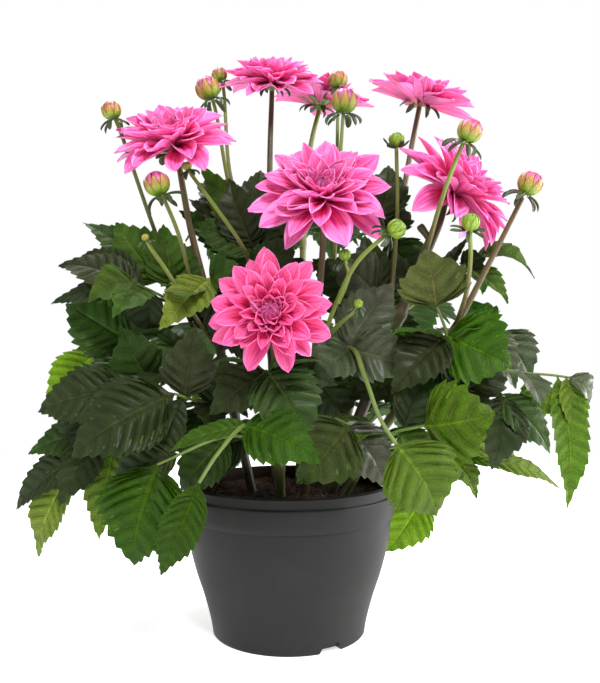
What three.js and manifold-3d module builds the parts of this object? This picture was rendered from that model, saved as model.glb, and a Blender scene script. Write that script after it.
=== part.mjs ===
// A double-flowered pink dahlia in a dark nursery pot, in millimetres, +Z up.
// The origin is the middle of the pot's underside, where the pot's axis meets the ground.
// +X is the plant's right and -Y its front.
import * as THREE from 'three';
import { mergeVertices } from 'three/addons/utils/BufferGeometryUtils.js';
import Module from 'manifold-3d';

const wasm = await Module();
wasm.setup();

// Driving dimensions of the pot
const POT_HEIGHT = 140;
const POT_SIDES = 28;
const FLOOR_THICKNESS = 3;
const WALL_THICKNESS = 2.4;
const SHOULDER_RADIUS = 100;
const RIM_RADIUS = 97;
const BASE_RADIUS = 71.5;
const NOTCH_COUNT = 2;
const NOTCH_WIDTH = 26;
const NOTCH_TOP_WIDTH = 15;
const NOTCH_HEIGHT = 8;
const NOTCH_FIRST_ANGLE = -58;
const NOTCH_DEPTH = 24;
const NOTCH_REACH = 12;

// The wall's outer side from the ground to the shoulder, as radius and height
const POT_WALL = [
  [73.5, 14],
  [79.4, 36],
  [87.4, 60],
  [94.4, 89],
  [96.6, 109],
];

// The raised band under the rim, the recess above it and the rounded lip
const POT_BAND = [
  [98.8, 110.5],
  [SHOULDER_RADIUS, 129],
  [SHOULDER_RADIUS - 0.6, 130.6],
];
const POT_RECESS = 131.2;
const LIP_ROUNDING = 0.8;
const BAND_INSIDE = [130, 126];

// The potting soil lies a little below the rim
const SOIL_HEIGHT = 125;
const SOIL_DOME = 4;
const SOIL_SHOULDER = 118;
const SOIL_EDGE_RADIUS = 93;
const SOIL_CROWN_RADIUS = 55;
const STEM_DEPTH = 12;

// Clearance left where one piece meets another
const GAP = 0.3;

// Thicknesses of the soft pieces
const BLADE_THICKNESS = 0.8;
const PETAL_THICKNESS = 0.9;
const PETIOLE_RADIUS = 1.9;
const RACHIS_RADIUS = 1.1;
const BUD_STALK_RADIUS = 1.7;
const STALK_TAPER = 0.9;

// Sides of the rods, and their steps: a leaf stalk has some for each stretch between its points
const STEM_SIDES = 7;
const STEM_STEPS = 7;
const STEM_SAMPLES = 200;
const BUD_STALK_SIDES = 5;
const BUD_STALK_STEPS = 5;
const PETIOLE_SIDES = 4;
const PETIOLE_STEPS = 3;

// How far a blade starts behind its base, so that it runs into its stalk
const BLADE_HEEL = 0.6;

// Stations of a leaflet's outline, as shares of its length and of its half width
const BROAD_LEAFLET = 37;
const BROAD_STATIONS = [[0.3, 1], [0.68, 0.78]];
const SLIM_STATIONS = [[0.42, 1]];
const PETAL_STATIONS = [[0.62, 1]];

const COLOURS = {
  pot: { color: 0x3b3b3d, roughness: 0.55, metalness: 0 },
  soil: { color: 0x2a1a12, roughness: 1, metalness: 0 },
  darkStem: { color: 0x4a2f1c, roughness: 0.6, metalness: 0 },
  greenStem: { color: 0x7f8f2f, roughness: 0.6, metalness: 0 },
  leaf: { color: 0x35561f, roughness: 0.5, metalness: 0 },
  petal: { color: 0xf0479f, roughness: 0.6, metalness: 0 },
  bud: { color: 0xa6bf3a, roughness: 0.6, metalness: 0 },
};

// Flower heads: middle of the head, direction it faces, and radius of its longest petals
const BLOOMS = {
  bloom_left: { centre: [-103, -22, 450], facing: [-0.12, -0.5, 0.86], radius: 54 },
  bloom_top_left: { centre: [-19, 52, 537], facing: [0.02, -0.3, 0.95], radius: 48 },
  bloom_centre: { centre: [32, -68, 392], facing: [0.05, -0.82, 0.57], radius: 54 },
  bloom_front: { centre: [-12, -116, 292], facing: [0.02, -0.98, 0.14], radius: 50 },
  bloom_back: { centre: [33, 104, 531], facing: [0.08, -0.1, 0.99], radius: 48 },
  bloom_top_right: { centre: [133, 50, 519], facing: [0.24, -0.08, 0.97], radius: 54 },
  bloom_right: { centre: [145, -32, 402], facing: [0.58, -0.26, 0.76], radius: 60 },
};

// The green receptacle under the petals: its own depth, radii and heights above the middle
const RECEPTACLE_SIDES = 7;
const RECEPTACLE_HEIGHT = 9;
const RECEPTACLE_FOOT = 6;
const RECEPTACLE_WAIST = [11, 1];
const RECEPTACLE_TOP = [10, 12];
const HEART_SHARE = 0.5;

// Petals in rings, the second set higher and standing up more
const PETAL_RINGS = [
  { count: 9, tilt: 6, reach: 1, width: 0.42, start: 9, level: 2 },
  { count: 5, tilt: 42, reach: 0.8, width: 0.4, start: 8, level: 8 },
];
const PETAL_ARCH = -0.05;
const PETAL_LEAN = -0.4;

// A closed bud's outline, as shares of its radius
const BUD_SIDES = 7;
const BUD_PROFILE = [[0, -1.15], [0.62, -0.95], [1, -0.1], [0.72, 0.8], [0, 1.2]];

// Main stems: points from the soil upwards, and the flower head that each one carries
const STEMS = {
  stem_left: {
    path: [[-30, -10], [-48, -12, 200], [-70, -10, 300], [-90, -11, 380]],
    bloom: 'bloom_left', foot: 4.6, neck: 2.7, look: 'darkStem',
  },
  stem_top_left: {
    path: [[-12, 24], [-17, 36, 220], [-20, 43, 360], [-20, 46, 460]],
    bloom: 'bloom_top_left', foot: 4.4, neck: 2.5, look: 'darkStem',
  },
  stem_centre: {
    path: [[14, -18], [20, -26, 200], [27, -36, 300], [31, -46, 360]],
    bloom: 'bloom_centre', foot: 4.4, neck: 2.6, look: 'darkStem',
  },
  stem_front: {
    path: [[-6, -34], [-8, -52, 190], [-11, -78, 255], [-13, -98, 284]],
    bloom: 'bloom_front', foot: 4.2, neck: 2.6, look: 'greenStem',
  },
  stem_back: {
    path: [[10, 42], [12, 66, 280], [16, 90, 430], [23, 100, 490]],
    bloom: 'bloom_back', foot: 4.4, neck: 2.4, look: 'greenStem',
  },
  stem_top_right: {
    path: [[36, 18], [78, 34, 280], [112, 42, 410], [124, 48, 470]],
    bloom: 'bloom_top_right', foot: 4.4, neck: 2.5, look: 'greenStem',
  },
  stem_right: {
    path: [[32, -14], [80, -26, 240], [118, -34, 345], [132, -30, 380]],
    bloom: 'bloom_right', foot: 5, neck: 3.4, look: 'darkStem',
  },
  stem_side: {
    path: [[40, -34], [86, -48, 195], [141, -58, 274], [180, -56, 345]],
    tip: [205.6, -60, 396.6], foot: 4.2, neck: 2, look: 'greenStem',
  },
};

// Bud stalks: the first one of a spray grows from a stem. The others do too, or from the first
// one where the spray is branched. A bud has its middle, its radius and the way it points.
const SPRAYS = {
  bud_far_left: {
    from: 'stem_left', height: 215,
    stalks: [[[-98, -2, 300], [-130, -8, 385], [-159, -18, 472]]],
    buds: [{ at: [-165, -20, 486], radius: 9.5, facing: [-0.2, -0.1, 1] }],
  },
  buds_top_left: {
    from: 'stem_top_left', height: 300, branched: true,
    stalks: [
      [[-48, 22, 380], [-60, 14, 430], [-73, 10, 502]],
      [[-24, 37, 313], [-40, 34, 380], [-60, 44, 440], [-69, 58, 536]],
      [[-28, 34, 325], [-34, 2, 338], [-44, -30, 361], [-70, -34, 398], [-89, -36, 424]],
    ],
    buds: [
      { at: [-79, 10, 517], radius: 12.5, facing: [-0.35, -0.1, 1] },
      { at: [-73, 60, 548], radius: 8.5, facing: [-0.3, 0.1, 1] },
      { at: [-92, -37, 430], radius: 4.5, facing: [-0.4, -0.1, 1] },
    ],
  },
  buds_left_low: {
    from: 'stem_left', height: 262,
    stalks: [
      [[-84, -34, 312], [-98, -52, 368], [-109, -60, 396]],
      [[-88, -44, 300], [-104, -66, 330], [-118, -83, 353]],
    ],
    buds: [
      { at: [-115, -60, 409], radius: 12, facing: [-0.3, -0.1, 1] },
      { at: [-120, -85, 358], radius: 3.4, facing: [-0.3, -0.2, 1] },
    ],
  },
  buds_top_middle: {
    from: 'stem_top_right', height: 215,
    stalks: [
      [[46, 34, 320], [48, 52, 420], [50, 65, 530]],
      [[44, 18, 320], [48, 16, 420], [53, 20, 495]],
    ],
    buds: [
      { at: [50, 66, 545], radius: 10.5, facing: [0, -0.05, 1] },
      { at: [54, 20, 508], radius: 13.5, facing: [0.05, -0.1, 1] },
    ],
  },
  bud_middle_green: {
    from: 'stem_right', height: 268,
    stalks: [[[97, -18, 330], [100, -26, 388], [99, -30, 446]]],
    buds: [{ at: [99, -30, 456], radius: 7.5, facing: [0, -0.4, 1] }],
  },
  bud_right_high: {
    from: 'stem_right', height: 328,
    stalks: [[[120, -70, 350], [127, -95, 384], [141, -103, 425]]],
    buds: [{ at: [150, -104, 443], radius: 11, facing: [0.45, -0.2, 1] }],
  },
  buds_right_fork: {
    from: 'stem_side', height: 282,
    stalks: [[[151, -84, 312], [151, -100, 340], [149, -108, 356]]],
    buds: [{ at: [149, -110, 367], radius: 8, facing: [0.1, -0.5, 1] }],
  },
  bud_right_far: {
    onTip: 'stem_side',
    stalks: [],
    buds: [{ at: [212, -61, 409], radius: 11.5, facing: [0.5, -0.1, 1] }],
  },
  buds_centre_spray: {
    from: 'stem_centre', height: 222, branched: true,
    stalks: [
      [[27, -62, 258], [40, -88, 300], [58, -97, 336], [82, -100, 358]],
      [[42, -92, 302], [51, -92, 326], [49, -90, 336]],
      [[30, -70, 271], [47, -98, 288], [56, -104, 296]],
    ],
    buds: [
      { at: [90, -100, 363], radius: 8.5, facing: [0.8, -0.3, 0.45] },
      { at: [48, -89, 343], radius: 5.5, facing: [-0.1, -0.4, 1] },
      { at: [58, -106, 301], radius: 4, facing: [0.1, -0.6, 0.8] },
    ],
  },
};

// Compound leaves: the stem and the height where the leaf stalk starts, the points that its
// midrib then passes, and its leaflets. A leaflet starts at a fraction of the midrib and has
// its tip, its width, the compass angle that its upper side turns to, and its arch.
const LEAVES = {
  leaf_front_left_broad: {
    from: 'stem_left', height: 205, midrib: [[-70, -45, 214], [-96, -80, 226]],
    leaflets: [
      { at: 1, tip: [-180, -102, 179], width: 66, face: -95, lean: 16, arch: 7 },
      { at: 0.85, tip: [-80, -80, 282], width: 44, face: -90, lean: 10, arch: 4 },
      { at: 0.9, tip: [-118, -92, 146], width: 28, face: -90, lean: 10, arch: 2 },
    ],
    pairs: [],
  },
  leaf_left_middle: {
    from: 'stem_left', height: 236, midrib: [[-100, -30, 242], [-142, -46, 232]],
    leaflets: [
      { at: 1, tip: [-229, -44, 212], width: 52, face: -100, lean: 22, arch: 7 },
      { at: 0.8, tip: [-144, -62, 282], width: 46, face: -90, lean: 10, arch: 3 },
      { at: 0.95, tip: [-186, -66, 188], width: 36, face: -100, lean: 20, arch: 4 },
    ],
    pairs: [],
  },
  leaf_left_low: {
    from: 'stem_left', height: 180, midrib: [[-110, -15, 200], [-165, -22, 186], [-197, -20, 160]],
    leaflets: [
      { at: 0.85, tip: [-262, -8, 115], width: 40, face: -120, lean: 20, arch: 6 },
      { at: 0.75, tip: [-202, -58, 129], width: 38, face: -100, lean: 20, arch: 4 },
      { at: 1, tip: [-243, -12, 70], width: 42, face: -115, lean: 10, arch: 6 },
      { at: 0.62, tip: [-171, -46, 95], width: 44, face: -95, lean: 10, arch: 5 },
    ],
    pairs: [{ at: 0.36, length: 58, drop: 20 }],
  },
  leaf_front_left_low: {
    from: 'stem_front', height: 178, midrib: [[-50, -78, 190], [-98, -94, 172]],
    leaflets: [
      { at: 1, tip: [-128, -98, 80], width: 72, face: -95, lean: 5, arch: 6 },
      { at: 0.85, tip: [-154, -80, 146], width: 38, face: -105, lean: 15, arch: 4 },
    ],
    pairs: [],
  },
  leaf_front_winged: {
    from: 'stem_front', height: 158,
    midrib: [[-18, -90, 190], [-34, -120, 203], [-54, -132, 182], [-68, -134, 160]],
    leaflets: [
      { at: 1, tip: [-105, -124, 78], width: 48, face: -90, lean: 5, arch: 3 },
      { at: 0.5, tip: [26, -142, 179], width: 48, face: -90, lean: 28, arch: 7 },
      { at: 0.45, tip: [-97, -112, 186], width: 26, face: -60, lean: 60, arch: 4 },
    ],
    pairs: [],
  },
  leaf_front_under_bloom: {
    from: 'stem_front', height: 232, midrib: [[-18, -92, 246]],
    leaflets: [
      { at: 1, tip: [20, -120, 192], width: 58, face: -80, lean: 20, arch: 7 },
      { at: 0.9, tip: [-64, -106, 212], width: 42, face: -100, lean: 25, arch: 6 },
      { at: 0.9, tip: [42, -98, 236], width: 34, face: -80, lean: 30, arch: 5 },
    ],
    pairs: [],
  },
  leaf_front_right_soil: {
    from: 'stem_centre', height: 176, midrib: [[36, -72, 204], [50, -100, 202]],
    leaflets: [
      { at: 1, tip: [9, -124, 158], width: 58, face: -80, lean: 25, arch: 6 },
      { at: 0.85, tip: [84, -92, 148], width: 40, face: -80, lean: 20, arch: 5 },
    ],
    pairs: [{ at: 0.5, length: 52, drop: 14 }],
  },
  leaf_front_right_winged: {
    from: 'stem_centre', height: 238,
    midrib: [[54, -66, 265], [64, -100, 240], [74, -126, 208], [85, -137, 190]],
    leaflets: [
      { at: 1, tip: [121, -130, 132], width: 62, face: -85, lean: 10, arch: 6 },
      { at: 0.25, tip: [20, -86, 240], width: 40, face: -90, lean: 20, arch: 4 },
      { at: 0.22, tip: [106, -72, 248], width: 50, face: -90, lean: 20, arch: 6 },
      { at: 0.2, tip: [92, -54, 324], width: 48, face: -95, lean: 10, arch: 6 },
    ],
    pairs: [],
  },
  leaf_front_right_bright: {
    from: 'stem_side', height: 165, midrib: [[88, -80, 192], [112, -102, 201]],
    leaflets: [
      { at: 1, tip: [168, -112, 212], width: 66, face: -90, lean: 5, arch: 4 },
      { at: 0.7, tip: [122, -84, 246], width: 34, face: -90, lean: 10, arch: 3 },
      { at: 0.6, tip: [124, -78, 158], width: 34, face: -80, lean: 20, arch: 4 },
    ],
    pairs: [],
  },
  leaf_right_node: {
    from: 'stem_side', height: 262, midrib: [[136, -74, 276], [128, -74, 300]],
    leaflets: [
      { at: 0.5, tip: [190, -84, 250], width: 64, face: -88, lean: 4, arch: 3 },
      { at: 0.45, tip: [86, -98, 230], width: 44, face: -100, lean: 25, arch: 5 },
      { at: 1, tip: [117, -84, 348], width: 60, face: -90, lean: 4, arch: 8 },
    ],
    pairs: [],
  },
  leaf_right_arching: {
    from: 'stem_right', height: 232,
    midrib: [[150, -24, 262], [205, -26, 244], [250, -24, 238], [268, -22, 234]],
    leaflets: [
      { at: 1, tip: [292, -14, 206], width: 30, face: -70, lean: 20, arch: 3 },
      { at: 0.95, tip: [266, -34, 180], width: 32, face: -80, lean: 5, arch: 3 },
      { at: 0.8, tip: [255, -48, 119], width: 36, face: -85, lean: 5, arch: 5 },
      { at: 0.65, tip: [230, -20, 178], width: 36, face: -85, lean: 5, arch: 4 },
      { at: 0.55, tip: [222, -62, 218], width: 34, face: -60, lean: 30, arch: 4 },
    ],
    pairs: [{ at: 0.3, length: 46, drop: 10 }],
  },
  leaf_right_dark: {
    from: 'stem_side', height: 200, midrib: [[150, -46, 226], [192, -50, 222]],
    leaflets: [
      { at: 1, tip: [178, -72, 162], width: 44, face: -90, lean: 5, arch: 4 },
      { at: 0.9, tip: [232, -62, 176], width: 36, face: -75, lean: 20, arch: 5 },
    ],
    pairs: [{ at: 0.5, length: 50, drop: 30 }],
  },
  leaf_right_low: {
    from: 'stem_top_right', height: 150, midrib: [[110, 2, 172], [160, 6, 160]],
    leaflets: [
      { at: 1, tip: [262, 16, 126], width: 34, face: -60, lean: 70, arch: 5 },
      { at: 0.85, tip: [172, -34, 132], width: 32, face: -60, lean: 30, arch: 4 },
      { at: 0.8, tip: [214, 44, 150], width: 36, face: 20, lean: 45, arch: 5 },
    ],
    pairs: [],
  },
  leaf_right_pot: {
    from: 'stem_top_right', height: 140, midrib: [[105, 40, 160], [136, 46, 118]],
    leaflets: [
      { at: 1, tip: [98, 48, 56], width: 48, face: -85, lean: 5, arch: 3 },
      { at: 0.75, tip: [158, 84, 108], width: 40, face: 30, lean: 45, arch: 4 },
    ],
    pairs: [],
  },
  leaf_right_upper: {
    from: 'stem_right', height: 296, midrib: [[150, -8, 322], [186, 0, 335]],
    leaflets: [
      { at: 1, tip: [230, 0, 324], width: 36, face: -50, lean: 45, arch: 4 },
      { at: 0.8, tip: [200, -38, 308], width: 32, face: -70, lean: 40, arch: 4 },
      { at: 0.8, tip: [196, 38, 326], width: 34, face: 30, lean: 45, arch: 4 },
    ],
    pairs: [],
  },
  leaf_right_grey: {
    from: 'stem_top_right', height: 250, midrib: [[160, 26, 284], [204, 22, 282]],
    leaflets: [
      { at: 1, tip: [234, 8, 236], width: 50, face: -75, lean: 15, arch: 5 },
      { at: 0.85, tip: [216, 66, 260], width: 42, face: 30, lean: 45, arch: 5 },
    ],
    pairs: [{ at: 0.45, length: 52, drop: 14 }],
  },
  leaf_upper_right: {
    from: 'stem_top_right', height: 366, midrib: [[92, 30, 394]],
    leaflets: [
      { at: 1, tip: [84, 22, 450], width: 50, face: -90, lean: 10, arch: 5 },
      { at: 0.9, tip: [54, 30, 406], width: 38, face: -90, lean: 25, arch: 4 },
    ],
    pairs: [],
  },
  leaf_centre_right: {
    from: 'stem_right', height: 250, midrib: [[80, -2, 290], [82, 0, 316]],
    leaflets: [
      { at: 1, tip: [40, -14, 346], width: 52, face: -90, lean: 15, arch: 6 },
      { at: 0.9, tip: [72, 4, 374], width: 38, face: -90, lean: 10, arch: 4 },
    ],
    pairs: [],
  },
  leaf_left_upper: {
    from: 'stem_left', height: 292, midrib: [[-98, -10, 314], [-118, -20, 326]],
    leaflets: [
      { at: 1, tip: [-158, -26, 374], width: 54, face: -95, lean: 12, arch: 4 },
      { at: 0.95, tip: [-194, -6, 384], width: 30, face: -160, lean: 50, arch: 3 },
      { at: 0.8, tip: [-116, -30, 378], width: 42, face: -90, lean: 10, arch: 4 },
    ],
    pairs: [],
  },
  leaf_left_side: {
    from: 'stem_left', height: 276, midrib: [[-104, -38, 306], [-134, -52, 322]],
    leaflets: [
      { at: 1, tip: [-174, -66, 308], width: 40, face: -100, lean: 30, arch: 5 },
      { at: 0.95, tip: [-210, -36, 344], width: 36, face: -110, lean: 35, arch: 6 },
      { at: 0.85, tip: [-146, -90, 294], width: 32, face: -95, lean: 25, arch: 4 },
    ],
    pairs: [],
  },
  leaf_left_striped: {
    from: 'stem_left', height: 248, midrib: [[-110, -10, 266], [-148, -18, 272]],
    leaflets: [
      { at: 1, tip: [-208, -18, 308], width: 58, face: -95, lean: 10, arch: 4 },
      { at: 0.95, tip: [-228, 8, 268], width: 40, face: -140, lean: 40, arch: 5 },
      { at: 0.75, tip: [-156, -36, 226], width: 34, face: -100, lean: 20, arch: 4 },
    ],
    pairs: [],
  },
  leaf_left_back_bright: {
    from: 'stem_top_left', height: 215, midrib: [[-110, 40, 250], [-190, 38, 262]],
    leaflets: [
      { at: 1, tip: [-247, 34, 206], width: 46, face: -115, lean: 15, arch: 5 },
      { at: 0.85, tip: [-215, 78, 232], width: 40, face: 150, lean: 45, arch: 5 },
      { at: 0.8, tip: [-180, 0, 222], width: 40, face: -100, lean: 25, arch: 5 },
    ],
    pairs: [{ at: 0.5, length: 56, drop: 16 }],
  },
  leaf_upper_left: {
    from: 'stem_top_left', height: 340, midrib: [[-34, 10, 362]],
    leaflets: [
      { at: 1, tip: [-58, 0, 428], width: 44, face: -90, lean: 10, arch: 4 },
      { at: 0.9, tip: [-94, 0, 384], width: 42, face: -105, lean: 25, arch: 6 },
      { at: 0.85, tip: [-8, 6, 416], width: 40, face: -85, lean: 10, arch: 4 },
    ],
    pairs: [],
  },
  leaf_centre_left: {
    from: 'stem_top_left', height: 290, midrib: [[-32, -4, 328]],
    leaflets: [
      { at: 1, tip: [-58, -54, 290], width: 50, face: -95, lean: 30, arch: 10 },
      { at: 0.9, tip: [6, -22, 370], width: 42, face: -85, lean: 20, arch: 5 },
    ],
    pairs: [],
  },
  leaf_left_inner: {
    from: 'stem_left', height: 310, midrib: [[-71, -38, 328]],
    leaflets: [
      { at: 1, tip: [-108, -82, 284], width: 38, face: -85, lean: 25, arch: 5 },
      { at: 0.9, tip: [-46, -58, 340], width: 36, face: -85, lean: 25, arch: 4 },
    ],
    pairs: [],
  },
};

// Leaves of the back, which repeat one leaf form in tiers: where the stalk starts, the compass
// angle it grows in, how far its midrib reaches, how far it falls, and the end leaflet's length
const BACK_LEAVES = {
  leaf_back_low_left: {
    from: 'stem_top_left', height: 160, compass: 158, reach: 124, fall: 10, size: 98,
  },
  leaf_back_low_middle: {
    from: 'stem_back', height: 158, compass: 118, reach: 110, fall: 14, size: 102,
  },
  leaf_back_low_right: {
    from: 'stem_back', height: 172, compass: 78, reach: 104, fall: 8, size: 100,
  },
  leaf_back_low_far_right: {
    from: 'stem_top_right', height: 185, compass: 42, reach: 116, fall: 12, size: 98,
  },
  leaf_back_high_left: {
    from: 'stem_top_left', height: 262, compass: 140, reach: 104, fall: -6, size: 96,
  },
  leaf_back_high_middle: {
    from: 'stem_back', height: 268, compass: 98, reach: 88, fall: -8, size: 96,
  },
  leaf_back_high_right: {
    from: 'stem_top_right', height: 292, compass: 62, reach: 88, fall: -6, size: 92,
  },
  leaf_back_top_left: {
    from: 'stem_top_left', height: 372, compass: 128, reach: 58, fall: -14, size: 76,
  },
  leaf_back_top_middle: {
    from: 'stem_back', height: 376, compass: 72, reach: 56, fall: -14, size: 78,
  },
};
const BACK_RISE = 26;
const BACK_DROOP = 34;
const BACK_ARCH = 7;
const BACK_MIDDLE = 0.5;
const BACK_SAG = 0.2;
const BACK_PAIRS = [
  { at: 0.58, spread: 62, length: 0.76, drop: 20 },
  { at: 0.9, spread: 48, length: 0.88, drop: 20 },
];
const PAIR_SPREAD = 60;
const PAIR_ARCH = 5;
const LEAFLET_WIDTH_SHARE = 0.58;
const LEAFLET_LEAN = 49;

const UP = new THREE.Vector3(0, 0, 1);
const LATHE_AXIS = new THREE.Vector3(0, 1, 0);

function point(values) {
  return new THREE.Vector3(...values);
}

function compassDirection(degrees) {
  const angle = THREE.MathUtils.degToRad(degrees);
  return new THREE.Vector3(Math.cos(angle), Math.sin(angle), 0);
}

// A closed surface from its points and its triangles
function closedGeometry(points, triangles) {
  const geometry = new THREE.BufferGeometry();
  const numbers = points.flatMap((p) => p.toArray());
  geometry.setAttribute('position', new THREE.Float32BufferAttribute(numbers, 3));
  geometry.setIndex(triangles.flat());
  return geometry;
}

// The solid inside a closed surface, ready to be joined or cut
function solidOf(geometry) {
  const bare = geometry.clone();
  bare.deleteAttribute('normal');
  bare.deleteAttribute('uv');
  const merged = mergeVertices(bare, 1e-4);
  return new wasm.Manifold(new wasm.Mesh({
    numProp: 3,
    vertProperties: new Float32Array(merged.attributes.position.array),
    triVerts: new Uint32Array(merged.index.array),
  }));
}

function geometryOf(solid) {
  const mesh = solid.getMesh();
  const geometry = new THREE.BufferGeometry();
  geometry.setAttribute('position', new THREE.BufferAttribute(mesh.vertProperties, 3));
  geometry.setIndex(new THREE.BufferAttribute(mesh.triVerts, 1));
  geometry.computeVertexNormals();
  return geometry;
}

function joined(solids) {
  return solids.reduce((whole, next) => whole.add(next));
}

// A round rod along points, thinner towards its end and closed at both ends
function rod(points, startRadius, endRadius, { sides = 6, steps = 6, grow = 0 } = {}) {
  const path = new THREE.CatmullRomCurve3(points);
  const frames = path.computeFrenetFrames(steps, false);
  const vertices = [];
  for (let step = 0; step <= steps; step += 1) {
    const share = step / steps;
    const middle = path.getPointAt(share);
    if (step === 0) middle.addScaledVector(frames.tangents[0], -grow);
    if (step === steps) middle.addScaledVector(frames.tangents[steps], grow);
    const radius = THREE.MathUtils.lerp(startRadius, endRadius, share) + grow;
    for (let side = 0; side < sides; side += 1) {
      const angle = (2 * Math.PI * side) / sides;
      vertices.push(middle.clone()
        .addScaledVector(frames.normals[step], radius * Math.cos(angle))
        .addScaledVector(frames.binormals[step], radius * Math.sin(angle)));
    }
  }
  const triangles = [];
  for (let step = 0; step < steps; step += 1) {
    for (let side = 0; side < sides; side += 1) {
      const next = (side + 1) % sides;
      const here = step * sides;
      const above = here + sides;
      triangles.push([here + side, here + next, above + next]);
      triangles.push([here + side, above + next, above + side]);
    }
  }
  const last = steps * sides;
  for (let side = 1; side < sides - 1; side += 1) {
    triangles.push([0, side + 1, side]);
    triangles.push([last, last + side, last + side + 1]);
  }
  return solidOf(closedGeometry(vertices, triangles));
}

// The three directions of a flat piece: along it, across it, and out of its upper side
function bladeAxes(base, tip, upperSide) {
  const along = tip.clone().sub(base).normalize();
  const across = new THREE.Vector3().crossVectors(upperSide, along).normalize();
  const out = new THREE.Vector3().crossVectors(along, across);
  return { along, across, out };
}

// A thin pointed blade, arched along its length and folded a little along its middle line.
// Its stations give the share of the length and the share of the half width.
function blade(base, tip, width, upperSide, { arch = 0, fold = 0.18, thickness, stations, grow = 0 }) {
  const { along, across, out } = bladeAxes(base, tip, upperSide);
  const half = thickness / 2 + grow;
  const spot = (share, side, level) => {
    const lift = arch * 4 * share * (1 - share) + fold * Math.abs(side);
    return base.clone().lerp(tip, share).addScaledVector(across, side).addScaledVector(out, lift + level);
  };
  const heel = base.clone().addScaledVector(along, -BLADE_HEEL - grow);
  const apex = tip.clone().addScaledVector(along, 2 * grow);
  const vertices = [
    heel.clone().addScaledVector(out, half), heel.clone().addScaledVector(out, -half),
    apex.clone().addScaledVector(out, half), apex.clone().addScaledVector(out, -half),
  ];
  for (const [share, breadth] of stations) {
    const reach = (breadth * width) / 2 + grow;
    for (const side of [reach, 0, -reach]) {
      vertices.push(spot(share, side, half), spot(share, side, -half));
    }
  }
  const at = (station, column) => 4 + station * 6 + column * 2;
  const top = [];
  const end = stations.length - 1;
  top.push([0, at(0, 2), at(0, 1)], [0, at(0, 1), at(0, 0)]);
  for (let row = 0; row < end; row += 1) {
    top.push([at(row, 1), at(row, 2), at(row + 1, 2)], [at(row, 1), at(row + 1, 2), at(row + 1, 1)]);
    top.push([at(row, 0), at(row, 1), at(row + 1, 1)], [at(row, 0), at(row + 1, 1), at(row + 1, 0)]);
  }
  top.push([at(end, 1), at(end, 2), 2], [at(end, 0), at(end, 1), 2]);
  const under = top.map(([a, b, c]) => [a + 1, c + 1, b + 1]);
  const rim = [0];
  for (let row = 0; row <= end; row += 1) rim.push(at(row, 2));
  rim.push(2);
  for (let row = end; row >= 0; row -= 1) rim.push(at(row, 0));
  const edge = rim.flatMap((from, index) => {
    const to = rim[(index + 1) % rim.length];
    return [[from + 1, to + 1, to], [from + 1, to, from]];
  });
  return solidOf(closedGeometry(vertices, [...top, ...under, ...edge]));
}

// A round body turned about its own axis, set at a place and facing a direction
function turned(profile, sides, middle, facing) {
  const geometry = new THREE.LatheGeometry(profile.map(([r, z]) => new THREE.Vector2(r, z)), sides);
  geometry.applyQuaternion(new THREE.Quaternion().setFromUnitVectors(LATHE_AXIS, facing));
  geometry.translate(middle.x, middle.y, middle.z);
  return solidOf(geometry);
}

// The stretch of a stem up to its own end, with the end taken from the flower that it carries
function stemPoints(stem) {
  const [foot, ...rest] = stem.path;
  const points = [new THREE.Vector3(foot[0], foot[1], SOIL_HEIGHT - STEM_DEPTH), ...rest.map(point)];
  if (stem.tip) return [...points, point(stem.tip)];
  const bloom = BLOOMS[stem.bloom];
  const facing = point(bloom.facing).normalize();
  return [...points, point(bloom.centre).addScaledVector(facing, -RECEPTACLE_HEIGHT - GAP)];
}

// Where a stem's middle line passes a height
function stemAt(name, height) {
  const path = new THREE.CatmullRomCurve3(stemPoints(STEMS[name]));
  const samples = path.getPoints(STEM_SAMPLES);
  return samples.reduce((best, p) => (Math.abs(p.z - height) < Math.abs(best.z - height) ? p : best));
}

function stemSolid(stem, grow = 0) {
  return rod(stemPoints(stem), stem.foot, stem.neck, { sides: STEM_SIDES, steps: STEM_STEPS, grow });
}

// A flower head: the green receptacle under it, and rings of petals that stand up more and
// more towards the middle
function bloomSolid({ centre, facing, radius }, grow = 0) {
  const middle = point(centre);
  const axis = point(facing).normalize();
  const reference = Math.abs(axis.z) > 0.9 ? LATHE_AXIS : UP;
  const right = new THREE.Vector3().crossVectors(axis, reference).normalize();
  const upward = new THREE.Vector3().crossVectors(axis, right);
  const cup = turned([
    [0, -RECEPTACLE_HEIGHT - grow],
    [RECEPTACLE_FOOT + grow, -RECEPTACLE_HEIGHT - grow],
    [RECEPTACLE_WAIST[0] + grow, RECEPTACLE_WAIST[1]],
    [RECEPTACLE_TOP[0] + grow, RECEPTACLE_TOP[1]],
    [0, radius * HEART_SHARE + grow],
  ], RECEPTACLE_SIDES, middle, axis);
  const petals = PETAL_RINGS.flatMap((ring, order) => Array.from({ length: ring.count }, (_, index) => {
    const turn = (2 * Math.PI * (index + order / 2)) / ring.count;
    const tilt = THREE.MathUtils.degToRad(ring.tilt);
    const outward = right.clone().multiplyScalar(Math.cos(turn)).addScaledVector(upward, Math.sin(turn));
    const base = middle.clone().addScaledVector(axis, ring.level).addScaledVector(outward, ring.start);
    const tip = middle.clone()
      .addScaledVector(outward, radius * ring.reach * Math.cos(tilt))
      .addScaledVector(axis, radius * ring.reach * Math.sin(tilt));
    const inner = axis.clone().addScaledVector(outward, PETAL_LEAN);
    return blade(base, tip, radius * ring.width, inner, {
      arch: radius * PETAL_ARCH, thickness: PETAL_THICKNESS, stations: PETAL_STATIONS, grow,
    });
  }));
  return joined([cup, ...petals]);
}

// A closed bud
function budSolid({ at, radius, facing }, grow = 0) {
  const size = radius + grow;
  const profile = BUD_PROFILE.map(([r, z]) => [r * size, z * size]);
  return turned(profile, BUD_SIDES, point(at), point(facing).normalize());
}

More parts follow.
